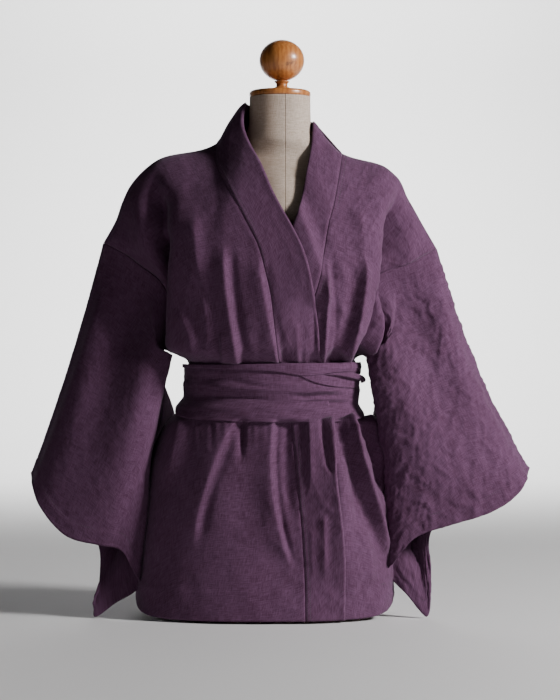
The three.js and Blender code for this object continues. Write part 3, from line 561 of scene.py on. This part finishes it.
SLEEVES = {
    "right": {"side": -1, "cuff": RIGHT_CUFF, "rail": 6, "inner": 62, "fold": 0.15, "seed": 61, "crush": 1.3},
    "left": {"side": 1, "cuff": LEFT_CUFF, "rail": -14, "inner": -40, "fold": 0.3, "seed": 81, "crush": 6.5},
}
FRONT_SWING = 24          # how far forward the front layer swings halfway along
BACK_SWING = 34           # how far back the back layer swings there
INNER_BACK = 92           # how far back its inner part is pushed, higher up
SLEEVE_LENGTH = 460       # along the arm, for the size of the small creases
SEAM_GAP = 0.5            # between body and sleeve, along the arm
SLEEVE_DROP = 0.4         # the arm's direction at the seam: how far down for each step out
TUCKED_CUFF = 4.6
SEAM_SLOPE = 0.40         # how fast the sleeve's front falls back where it leaves the shoulder
SLEEVE_FRONT = 76         # the plane in front that the sleeve's front layer hangs near
FOLD_SHIFT = 15           # how much closer to the body the fold beside it hangs
SEAM_OVERLAP = 3          # how far the sleeve stands forward beside its seam
INNER_SHIFT = 9           # how much closer to the skirt the lower inner edge hangs


def armhole_frame(side, around):
    front = around < 0.5
    down = np.where(front, around * 2, (1 - around) * 2)
    point, normal = both_faces(front, lambda face: body_frame(face, np.full_like(down, side), down))
    arm = np.array([side, 0, -SLEEVE_DROP]) / math.hypot(1, SLEEVE_DROP)
    return point + arm * SEAM_GAP, normal, down


def sleeve_point(sleeve, around, along):
    side, cuff = sleeve["side"], sleeve["cuff"]
    around = around % 1
    point, _, down = armhole_frame(side, around)
    point[..., 0] += side * TUCKED_CUFF * ease(0.7, 1, down)
    end = np.stack([cuff.at(name, around) for name in "xyz"], -1)
    start_slope = SEAM_SLOPE * np.where(around < 0.5, 1, -1) * (1 - ease(0.3, 0.6, down)) * ease(0, 0.3, down)
    reach_out = np.linalg.norm(end - point, axis=-1) * along * (1 - along) ** 2
    point = lerp(point, end, along[..., None])
    x, y = point[..., 0], point[..., 1]
    y += start_slope * reach_out
    x -= side * INNER_SHIFT * bell(around - 0.5, 0.07) * ease(0.5, 0.75, along)
    toward_body = bell(around - 0.37, 0.065) - 0.5 * bell(around - 0.475, 0.02)
    toward_body = toward_body * ease(0.02, 0.14, along) * (1 - ease(sleeve["fold"], 0.9, along))
    x -= side * FOLD_SHIFT * toward_body
    overlap = bell(around - 0.435, 0.035) * ease(0, 0.06, along) * (1 - ease(0.1, 0.35, along))
    y -= SEAM_OVERLAP * overlap
    level = ease(0, 0.03, around) * (1 - ease(0.46, 0.5, around)) * ease(0.03, 0.35, along)
    share = np.clip(-y / SLEEVE_FRONT, 0.001, 1) ** (1 - 0.5 * level)
    y[...] = np.where(y < 0, -SLEEVE_FRONT * share, y)
    middle = np.sin(math.pi * along)
    outer = bell(np.minimum(around, 1 - around), 0.1)
    front = np.where(around < 0.5, np.sin(2 * math.pi * around), 0)
    back = np.where(around > 0.5, np.sin(2 * math.pi * (1 - around)), 0)
    inner = bell(around - 0.64, 0.09)
    reach = ease(0.1, 0.42, along) * (1 - ease(0.45, 0.9, along))
    x += middle * sleeve["rail"] * outer + reach * sleeve["inner"] * inner
    y += middle * (BACK_SWING * back - FRONT_SWING * front) + reach * INNER_BACK * inner
    return clear_of_body(point, ease(0, 0.14, along))


def clear_of_body(point, share):
    """Moves points of a sleeve out to just clear of the body's section at their height."""
    x, y, z = (point[..., k] for k in range(3))
    clearance = lerp(5, 9, 1 - ease(360, 420, z)) - 5 * (1 - ease(180, 260, z))
    left, right = BODY.at("left", z) - clearance, BODY.at("right", z) + clearance
    depth = np.where(y < 0, BODY.at("front", z), BODY.at("back", z)) + clearance
    middle = (left + right) / 2
    inside = ((x - middle) / ((right - left) / 2)) ** 2 + (np.abs(y) / depth) ** (2 / ROUNDNESS)
    free = ease(UNDERARM + 60, UNDERARM + 110, z)
    out = lerp(1, 1 / np.sqrt(np.maximum(inside, 1e-6)), share * (1 - free))
    out = np.where(inside < 1, out, 1)
    return np.stack([middle + (x - middle) * out, y * out, z], -1)


def sleeve_relief(sleeve, around, along, arc):
    """Long soft folds down the sleeve, and its crushed linen, from just off the seam to the cuff."""
    seed, length = sleeve["seed"], along * SLEEVE_LENGTH
    soft = 0.35 * noise(around * 14 + along * 1.2, along * 2.2, seed)
    small = 0.6 * rumple(arc / 24, length / 30, seed + 2)
    fine = 0.55 * rumple(arc / 10, length / 13, seed + 6)
    return sleeve["crush"] * (soft + small + fine) * ease(0, 0.12, along)


def make_sleeve(name):
    sleeve = SLEEVES[name]
    half = np.linspace(0, 0.5, 86)
    along, around = grid(np.linspace(0, 1, 131) ** 1.1, np.concatenate([half, 1 - half[-2:0:-1]]))
    surface = lambda u, v: sleeve_point(sleeve, u, v)
    points = surface(around, along)
    own = normal_of(surface, around, along, (-1, 2), (0, 1)) * sleeve["side"]
    _, seam_normal, down = armhole_frame(sleeve["side"], around)
    hold = (1 - ease(0, 0.25, along)) * (1 - ease(0.72, 0.95, down))
    normals = unit(lerp(own, seam_normal, hold[..., None]))
    arc, _, seam, cuff = edge_distances(points)
    lift = sleeve_relief(sleeve, around, along, arc) + seam_dip(seam)
    lift = lift + 1 - ease(CUFF_FOLD - 2, CUFF_FOLD + 1, cuff) + 1.2 * (1 - ease(1, 4, cuff))
    cloth_object(f"sleeve_{name}", points, normals, lift, closed=True,
                 cross_stitches=[cuff - CUFF_FOLD])


# The sash: a wide turn, the narrow strip along its top, the rolled twist, the knot and the tails

SASH_WRINKLES = [(362, 1.6, 5), (343, -1.8, 6), (328, 1.4, 5)]    # level, height and width
SASH_CREASES = Table("x z x1 z1 width height", [
    (-60, 373, 70, 365, 3.5, 2.2), (5, 356, 112, 361, 3, 4.0), (15, 349, 104, 352, 2.5, -4.4),
    (-120, 352, -10, 345, 3, -3.4), (20, 341, 118, 338, 3.5, -3.6), (-50, 334, 90, 329, 4, 2.2),
    (-115, 364, 10, 359, 3.5, 2.4), (-130, 380, -40, 372, 4, -1.2), (30, 362, 90, 358, 2.5, 1.6),
    (-90, 322, 60, 318, 3, 1.0), (-20, 341, 60, 345, 3, 1.2),
])
FLAP = Table("x z", [(30, 382), (37, 378), (53, 371), (79, 365), (100, 362.5), (130, 362)])
STRIP_ACROSS = 0.9
TWIST = Table("t across z high", [
    (0, 0.40, 384, 1.5), (0.25, 0.53, 384, 5), (0.5, 0.66, 382, 8.5), (0.75, 0.80, 379, 9.5),
    (0.9, 0.90, 375, 9.5), (1, 0.96, 371, 8),
])
TWIST_THICK = 9
KNOT = {"x": -12, "z": 356, "width": 58, "high": 70, "thick": 20}
TAIL_TOP = 32             # width of a tail under the knot
TAIL_WIDTH = 64
TAILS = {
    "right": {"top_x": -31, "x": -66, "end": 118, "slant": 14},
    "left": {"top_x": 7, "x": 30, "end": 92, "slant": -12},
}
SASH_WALL = 2


def sash_frame(face, across, z):
    across, z = np.broadcast_arrays(np.asarray(across, float), np.asarray(z, float))
    point, normal = body_frame(face, across, down_at(np.minimum(z, SASH_FLAT_TOP)))
    normal = unit(normal * [1, 1, 0])
    point[..., 2] = z
    wave = sum(height * bell(z - level + 6 * np.sin(2.2 * across), width)
               for level, height, width in SASH_WRINKLES)
    return point + normal * (SASH_LIFT + wave)[..., None], normal


def make_sash_ring():
    """The wide turn, from one side across the front to the other side and back across the back."""
    down, turn = grid(np.linspace(0, 1, 47), np.arange(0, 4, 4 / 260))
    front = turn < 2
    across = np.where(front, turn - 1, 3 - turn)
    z = lerp(SASH.at("top", across), SASH.at("bottom", across), down)
    points, normals = both_faces(front, lambda face: sash_frame(face, across, z))
    _, _, upper, lower = edge_distances(points)
    lift = 0.7 * noise(turn * 5, z / 9, 101) + 0.5 * noise(turn * 11, z / 5, 102)
    for x0, z0, x1, z1, width, height in SASH_CREASES.rows:
        t = (points[..., 0] - x0) / (x1 - x0)
        share = ease(0, 0.3, t) * (1 - ease(0.7, 1, t)) * np.where(front, 1, 0.8)
        lift = lift + height * share * bell(z - lerp(z0, z1, t), width)
    lift = lift - 0.6 * (1 - ease(0, EDGE_WIDTH, np.minimum(upper, lower)))
    cloth_object("belt_main", points, normals, lift, closed=True)


def make_sash_strip():
    down, across = grid(np.linspace(0, 1, 21), np.linspace(-STRIP_ACROSS, STRIP_ACROSS, 161))
    z = lerp(SASH.at("top", across) + 1, SASH.at("strip", across), down)
    points, normals = sash_frame(FRONT, across, z)
    lift = SASH_WALL + 1.3 + 0.4 * noise(across * 8, z / 7, 105) - 0.8 * down ** 6
    lift = lift + 0.9 * bell(z - 391 - 5 * across, 2.6) * ease(0, 0.5, across)
    cloth_object("belt_upper", points, normals, lift)


def ring_mesh(name, points):
    """A closed surface over rings of points, with a fan of triangles at either end."""
    rings, sides = points.shape[:2]
    vertices = np.concatenate([points.reshape(-1, 3), [points[0].mean(0), points[-1].mean(0)]]) * MM
    j, i = grid(np.arange(rings - 1), np.arange(sides))
    n = (i + 1) % sides
    quads = np.stack([j * sides + i, j * sides + n, (j + 1) * sides + n, (j + 1) * sides + i], -1)
    first, last = rings * sides, (rings - 1) * sides
    fans = [(first, (k + 1) % sides, k) for k in range(sides)]
    fans += [(first + 1, last + k, last + (k + 1) % sides) for k in range(sides)]
    mesh = bpy.data.meshes.new(name)
    mesh.from_pydata(vertices.tolist(), [], quads.reshape(-1, 4).tolist() + fans)
    return mesh


def make_roll(name, sections, sides, point_at):
    """A closed roll of cloth: rings of points, with both ends drawn together."""
    t, angle = grid(np.linspace(0, 1, sections), circle(sides))
    points = point_at(t, angle)
    mesh = ring_mesh(f"{name}_cloth", points)
    length = np.linalg.norm(np.diff(points.mean(1), axis=0), axis=-1).sum()
    girth = np.linalg.norm(np.diff(points[sections // 2], axis=0), axis=-1).sum()
    ring, side = np.divmod([loop.vertex_index for loop in mesh.loops], sides)
    uv = np.stack([ring / (sections - 1) * length, side / sides * girth], -1) * MM
    add_cloth(name, mesh, uv, np.full((len(mesh.vertices), 3), NO_STITCH))


def twist_point(t, angle):
    """A roll that swells towards the side, out of the edge of the narrow strip."""
    ends = np.sqrt(np.clip(1 - ((t - 0.5) / 0.5) ** 10, 0.02, 1)) * (1 + 0.08 * np.cos(3 * angle + 7 * t))
    half = TWIST.at("high", t) / 2 * ends
    seat, normal = sash_frame(FRONT, TWIST.at("across", t), TWIST.at("z", t))
    deep = np.minimum(TWIST_THICK / 2, half)
    point = seat + normal * (SASH_WALL + 1.6 + deep * (1 + np.cos(angle)))[..., None]
    point[..., 2] += half * np.sin(angle)
    return point


def make_sash_fold():
    """The loose fold of the sash that the roll comes out of, with a slanting lower edge."""
    down, across = grid(np.linspace(0, 1, 17), np.linspace(0.22, STRIP_ACROSS, 91))
    x = body_base(FRONT, across, down_at(370.0))[..., 0]
    z = lerp(SASH.at("strip", across) + 4, FLAP.at("z", x), down)
    points, normals = sash_frame(FRONT, across, z)
    lift = SASH_WALL + 0.1 + 0.5 * noise(across * 9, z / 6, 107)
    cloth_object("belt_fold", points, normals, lift, wall=1.2, has_node=False)


def across_at(x, z):
    left, right = BODY.at("left", z), BODY.at("right", z)
    return np.arcsin((2 * x - left - right) / (right - left)) / (math.pi / 2)


def knot_point(t, angle):
    t = 2 * t - 1
    swell = np.sqrt(1 - 0.98 * t * t)
    waist = 1 - 0.16 * (1 - t * t)
    seat, _ = sash_frame(BACK, across_at(KNOT["x"], KNOT["z"]), KNOT["z"])
    folds = 1 + 0.07 * np.cos(7 * angle + 3 * t) + 0.05 * np.cos(12 * angle - 5 * t)
    deep = 4 + SASH_WALL + 1 + KNOT["thick"] / 2 * (1 + swell * folds * np.cos(angle))
    point = np.empty(t.shape + (3,))
    point[..., 0] = KNOT["x"] + t * KNOT["width"] / 2
    point[..., 1] = seat[..., 1] + deep
    point[..., 2] = KNOT["z"] + KNOT["high"] / 2 * swell * waist * folds * np.sin(angle)
    return point


def make_tail(name):
    tail = TAILS[name]
    t, i = grid(np.linspace(0, 1, 91), np.linspace(0, 1, 31))
    z = lerp(KNOT["z"] + 8, tail["end"] + tail["slant"] * i, t)
    half = lerp(TAIL_TOP, TAIL_WIDTH, ease(0, 0.5, t)) / 2
    x = lerp(tail["top_x"], tail["x"], t ** 0.9) + lerp(-half, half, i)
    points, normals = body_frame(BACK, across_at(x, z), down_at(z))
    off = lerp(SASH_LIFT + 4.5, 7, ease(0.22, 0.5, t))
    ripple = 3 * np.sin(2 * math.pi * i) * ease(0.2, 0.7, t) + 0.8 * noise(i * 3, t * 6, 121)
    cloth_object(f"belt_tail_{name}", points, normals, off + ripple)


# The dress form and its turned wood

CHEST = Table("z bulge", [
    (820, 0), (790, 0), (770, 4), (742, 10), (715, 16), (690, 22), (650, 20), (610, 16), (560, 8),
    (500, 0), (72, 0),
])


def form_point(z, angle):
    squash = lambda value: np.sign(value) * np.abs(value) ** 0.9
    across, deep = squash(np.cos(angle)), squash(np.sin(angle))
    depth = np.where(deep < 0, FORM.at("front", z), FORM.at("back", z))
    x = FORM.at("x", z) + across * FORM.at("half", z)
    depth = depth + CHEST.at("bulge", z) * bell(x, 50) * (deep < 0)
    lean = -x * 0.06 * ease(560, 700, z) * (1 - ease(775, 815, z))
    return np.stack([x, deep * depth, z + lean], -1)


def stand_object(name, points):
    return add_piece(f"{name}_skin", ring_mesh(f"{name}_skin", points), name)


def make_form_body():
    levels = np.concatenate([np.linspace(NECK_TOP, 640, 94), np.linspace(636, 72, 95)])[::-1]
    z, angle = grid(levels, circle(144))
    points = form_point(z, angle)
    points[..., :2] *= 1 + 0.004 * noise(angle * 3, z / 40, 131)[..., None]
    return stand_object("form_body", points)


def ball_outline(radius, height):
    arc = np.linspace(0.02, math.pi - 0.02, 49)
    return np.stack([radius * np.sin(arc), height / 2 * (1 - np.cos(arc))], -1)


# Radius and height of each turned piece, bottom to top, from the radius r and height h of its solid

TURNED = {
    "base": lambda r, h: [(r - 2, 0), (r, 2), (r, 7), (r - 6, 9), (60, 10), (56, 11.4), (34, h)],
    "post": lambda r, h: [(r, 0), (r, 5), (r - 4, 11), (r - 7, 30), (r - 4, h - 8), (r - 4, h)],
    "cap": lambda r, h: [(r - 2, 0), (r, 1.5), (r, h - 4), (r - 3, h - 1), (30, h)],
    "spindle": lambda r, h: [(13, 0), (r, 1.5), (r - 1, 3.4), (9, 6), (9, h - 4), (12, h - 1), (12, h)],
    "ball": ball_outline,
}


def make_turned(name, outline):
    """A turned piece in the place of its solid, rounded at the corners of its outline."""
    low, high = (np.array(corner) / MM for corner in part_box(f"form_{name}"))
    profile = np.array(outline((high[0] - low[0]) / 2, high[2] - low[2]), float)
    fine = [lerp(a, b, t) for a, b in zip(profile, profile[1:]) for t in np.linspace(0, 1, 7)[:-1]]
    fine = np.array(fine + [profile[-1]])
    for _ in range(2):
        fine[1:-1] = fine[1:-1] * 0.5 + (fine[:-2] + fine[2:]) * 0.25
    row, angle = grid(np.arange(len(fine)), circle(96))
    radius, height = fine[row, 0], fine[row, 1]
    x = (low[0] + high[0]) / 2
    points = np.stack([x + radius * np.cos(angle), radius * np.sin(angle), low[2] + height], -1)
    return stand_object(f"form_{name}", points)


# Materials


class Nodes:
    """Short calls for a node material."""

    def __init__(self, name):
        self.material = bpy.data.materials.new(name)
        self.material.use_nodes = True
        self.tree = self.material.node_tree
        self.shader = self.tree.nodes["Principled BSDF"]

    def node(self, kind, **settings):
        node = self.tree.nodes.new(kind)
        inputs = settings.pop("inputs", {})
        for key, value in settings.items():
            setattr(node, key, value)
        for key, value in inputs.items():
            self.plug(value, node.inputs[key])
        return node

    def place(self):
        return self.node("ShaderNodeTexCoord").outputs["Object"]

    def plug(self, value, socket):
        if isinstance(value, bpy.types.NodeSocket):
            self.tree.links.new(value, socket)
        else:
            socket.default_value = value

    def math(self, operation, a, b=0.0):
        node = self.node("ShaderNodeMath", operation=operation)
        self.plug(a, node.inputs[0])
        self.plug(b, node.inputs[1])
        return node.outputs[0]

    def plus(self, a, b):
        return self.math("ADD", a, b)

    def minus(self, a, b):
        return self.math("SUBTRACT", a, b)

    def times(self, a, b):
        return self.math("MULTIPLY", a, b)

    def mix(self, share, a, b):
        node = self.node("ShaderNodeMix", data_type="RGBA")
        self.plug(share, node.inputs["Factor"])
        self.plug(a, node.inputs[6])
        self.plug(b, node.inputs[7])
        return node.outputs[2]

    def noise(self, vector, scale, detail=2.0, roughness=0.5):
        """Noise of one scale, or stretched by a scale for each direction."""
        if isinstance(scale, tuple):
            vector = self.node("ShaderNodeMapping", inputs={"Vector": vector, "Scale": scale}).outputs[0]
            scale = 1
        node = self.node("ShaderNodeTexNoise", inputs={
            "Vector": vector, "Scale": scale, "Detail": detail, "Roughness": roughness})
        return node.outputs["Fac"]

    def split(self, vector):
        return self.node("ShaderNodeSeparateXYZ", inputs={"Vector": vector}).outputs

    def ramp(self, value, low, high, to_low=0.0, to_high=1.0):
        node = self.node("ShaderNodeMapRange", interpolation_type="SMOOTHSTEP", inputs={
            "Value": value, "From Min": low, "From Max": high, "To Min": to_low, "To Max": to_high})
        return node.outputs[0]

    def bump(self, height, distance, strength, below=None):
        node = self.node("ShaderNodeBump", inputs={
            "Height": height, "Distance": distance, "Strength": strength})
        if below is not None:
            self.plug(below, node.inputs["Normal"])
        return node.outputs[0]

    def finish(self, surface):
        """Gives the shader its colour, gloss and bump by the names of its sockets."""
        for name, value in surface.items():
            self.plug(value, self.shader.inputs[name])
        return self.material


THREAD = 0.0008           # width of a thread of the weave, in metres
STITCH_LENGTH = 0.0034    # from one stitch to the next


def weave_height(n, cut, thread):
    """Plain weave: threads over and under, one unit high."""
    u, v = (n.times(part, math.pi / thread) for part in n.split(cut)[:2])
    both = n.times(n.math("SINE", u), n.math("SINE", v))
    return n.plus(n.times(both, 0.5), 0.5)


def plum_linen():
    n = Nodes("plum_linen")
    cut = n.node("ShaderNodeUVMap", uv_map="cut").outputs[0]
    place = n.place()
    warp = n.noise(cut, (950, 70, 1), 3, 0.65)
    weft = n.noise(cut, (60, 900, 1), 3, 0.65)
    slubs = n.plus(n.times(warp, 0.5), n.times(weft, 0.5))
    cloudy = n.noise(place, 14, 4, 0.6)
    grain = n.noise(place, 900, 2, 0.6)
    patches = n.times(n.minus(cloudy, 0.5), 0.16)
    shade = n.ramp(n.plus(slubs, patches), 0.36, 0.64)
    colour = n.mix(shade, (0.068, 0.021, 0.054, 1), (0.140, 0.062, 0.130, 1))
    stitch = n.split(n.node("ShaderNodeAttribute", attribute_name="stitch").outputs["Vector"])
    run = n.split(cut)
    lines = []
    for across, along in ((0, 1), (1, 0)):
        line = n.ramp(stitch[across], 0.45, 0.9, 1, 0)
        dash = n.math("SINE", n.times(run[along], 2 * math.pi / STITCH_LENGTH))
        lines.append((line, n.times(line, n.ramp(dash, -0.5, -0.1))))
    groove_and_painted_shade = n.math("MAXIMUM", lines[0][0], lines[1][0])
    thread = n.math("MAXIMUM", lines[0][1], lines[1][1])
    # painted shade: the grooves along the lines of stitches are darkened in the colour
    colour = n.mix(n.times(groove_and_painted_shade, 0.55), colour, (0.030, 0.014, 0.027, 1))
    colour = n.mix(n.times(thread, 0.55), colour, (0.140, 0.085, 0.135, 1))
    creased = n.noise(place, 70, 5, 0.62)
    low = n.bump(creased, 0.0012, 0.5)
    low = n.bump(slubs, 0.0006, 0.7, low)
    low = n.bump(weave_height(n, cut, THREAD), 0.00025, 0.5, low)
    low = n.bump(n.minus(thread, n.times(groove_and_painted_shade, 0.8)), 0.0007, 0.9, low)
    return n.finish({
        "Base Color": colour, "Roughness": n.ramp(grain, 0.3, 0.7, 0.82, 0.96),
        "Specular IOR Level": 0.30, "Sheen Weight": 0.14, "Sheen Roughness": 0.45,
        "Sheen Tint": (0.78, 0.72, 0.86, 1), "Normal": low})


def form_linen():
    n = Nodes("form_linen")
    place = n.place()
    warp = n.noise(place, (1400, 1400, 70), 3, 0.6)
    weft = n.noise(place, (90, 90, 1500), 3, 0.6)
    stain = n.noise(place, (22, 22, 11), 5, 0.65)
    slubs = n.times(n.plus(warp, weft), 0.5)
    colour = n.mix(n.ramp(slubs, 0.36, 0.64), (0.42, 0.33, 0.26, 1), (0.64, 0.54, 0.46, 1))
    colour = n.mix(n.ramp(stain, 0.45, 0.75, 0, 0.45), colour, (0.30, 0.21, 0.14, 1))
    x = n.split(place)[0]
    # painted shade: the cover is tinted darker and warmer towards its left side, where it lies in shade
    colour = n.mix(n.ramp(x, -0.03, 0.015, 0.30, 0), colour, (0.42, 0.25, 0.17, 1))
    off = n.math("ABSOLUTE", n.minus(x, 0.008))
    seam = n.ramp(off, 0.0004, 0.0012, 1, 0)
    colour = n.mix(n.times(seam, 0.55), colour, (0.22, 0.15, 0.10, 1))
    low = n.bump(stain, 0.0008, 0.4)
    low = n.bump(n.minus(1, seam), 0.0008, 0.6, low)
    return n.finish({
        "Base Color": colour, "Roughness": 0.92, "Specular IOR Level": 0.2,
        "Normal": n.bump(slubs, 0.0004, 0.6, low)})


def turned_wood():
    n = Nodes("turned_wood")
    place = n.place()
    bent = n.noise(place, 12, 2)
    rings = n.node("ShaderNodeTexWave", bands_direction="X", inputs={
        "Vector": place, "Scale": 45, "Distortion": 5, "Detail": 3, "Detail Scale": 1.4}).outputs["Fac"]
    streaks = n.noise(place, (220, 220, 26), 4, 0.6)
    wear = n.noise(place, 34, 5, 0.62)
    grain = n.plus(n.times(rings, 0.18), n.times(streaks, 0.82))
    colour = n.mix(n.ramp(grain, 0.35, 0.7), (0.56, 0.22, 0.06, 1), (0.40, 0.13, 0.03, 1))
    colour = n.mix(n.ramp(wear, 0.58, 0.72, 0, 0.75), colour, (0.075, 0.026, 0.012, 1))
    colour = n.mix(n.ramp(bent, 0.55, 0.8, 0, 0.3), colour, (0.62, 0.30, 0.11, 1))
    return n.finish({
        "Base Color": colour, "Roughness": n.ramp(wear, 0.4, 0.7, 0.28, 0.5), "Coat Weight": 0.35,
        "Coat Roughness": 0.22, "Normal": n.bump(grain, 0.0004, 0.35)})


# Everything in place

make_fronts()
make_back()
make_neck_band()
make_sleeve("right")
make_sleeve("left")
make_sash_ring()
make_sash_strip()
make_sash_fold()
make_roll("belt_twist", 60, 48, twist_point)
make_roll("belt_knot", 60, 72, knot_point)
make_tail("right")
make_tail("left")
form_skin = make_form_body()
wooden = [make_turned(name, outline) for name, outline in TURNED.items()]

for material, pieces in ((plum_linen(), plum_pieces), (form_linen(), [form_skin]), (turned_wood(), wooden)):
    for piece in pieces:
        piece.data.materials.append(material)

# Floor, lights and camera


def make_backdrop():
    """A pale floor that turns up into a wall far behind, as in a photo studio."""
    half, wall, bend, top = 7.0, 5.0, 1.5, 7.0
    turns = [bend * np.array([math.sin(a) - 1, 1 - math.cos(a)]) for a in np.linspace(0, math.pi / 2, 17)]
    curve = [(-half, 0)] + [(wall + y, z) for y, z in turns] + [(wall, top)]
    vertices = [(x, y, z) for y, z in curve for x in (-half, half)]
    faces = [(2 * k, 2 * k + 1, 2 * k + 3, 2 * k + 2) for k in range(len(curve) - 1)]
    mesh = bpy.data.meshes.new("backdrop")
    mesh.from_pydata(vertices, [], faces)
    mesh.shade_smooth()
    backdrop = bpy.data.objects.new("backdrop", mesh)
    bpy.context.scene.collection.objects.link(backdrop)
    n = Nodes("backdrop_white")
    place = n.place()
    grey = n.mix(n.noise(place, 3), (0.78, 0.78, 0.78, 1), (0.81, 0.81, 0.81, 1))
    backdrop.data.materials.append(n.finish({"Base Color": grey, "Roughness": 0.9}))


def aim(thing, place, target):
    thing.location = place
    thing.rotation_euler = (Vector(target) - Vector(place)).to_track_quat("-Z", "Y").to_euler()
    bpy.context.scene.collection.objects.link(thing)


def area_light(name, place, size, power, colour=(1, 1, 1), target=(0, 0, 0.45), spread=180):
    light = bpy.data.lights.new(name, "AREA")
    light.size = size
    light.energy = power
    light.color = colour
    light.spread = math.radians(spread)
    aim(bpy.data.objects.new(name, light), place, target)


CAMERA_DISTANCE = 3.4
EYE_HEIGHT = 0.422
FRAME_HEIGHT = 1.12       # what the long side of the picture spans at the form's axis
SENSOR = 36

make_backdrop()
area_light("key", (2.85, -1.3, 1.75), 0.6, 165, (1.0, 0.98, 0.98))
area_light("fill", (-1.6, -3.2, 1.2), 1.6, 3, (0.97, 0.96, 1.0))
area_light("wall", (0, 2.4, 4.5), 2.0, 190, (1, 1, 1), (0, 5.0, 0.9), 90)
world = bpy.data.worlds.new("studio")
world.use_nodes = True
world.node_tree.nodes["Background"].inputs["Strength"].default_value = 0.0
bpy.context.scene.world = world

camera = bpy.data.cameras.new("camera")
camera.sensor_fit = "VERTICAL"
camera.sensor_height = SENSOR
camera.lens = SENSOR * CAMERA_DISTANCE / FRAME_HEIGHT
camera_object = bpy.data.objects.new("camera", camera)
aim(camera_object, (0, -CAMERA_DISTANCE, EYE_HEIGHT), (0, 0, EYE_HEIGHT))
bpy.context.scene.camera = camera_object
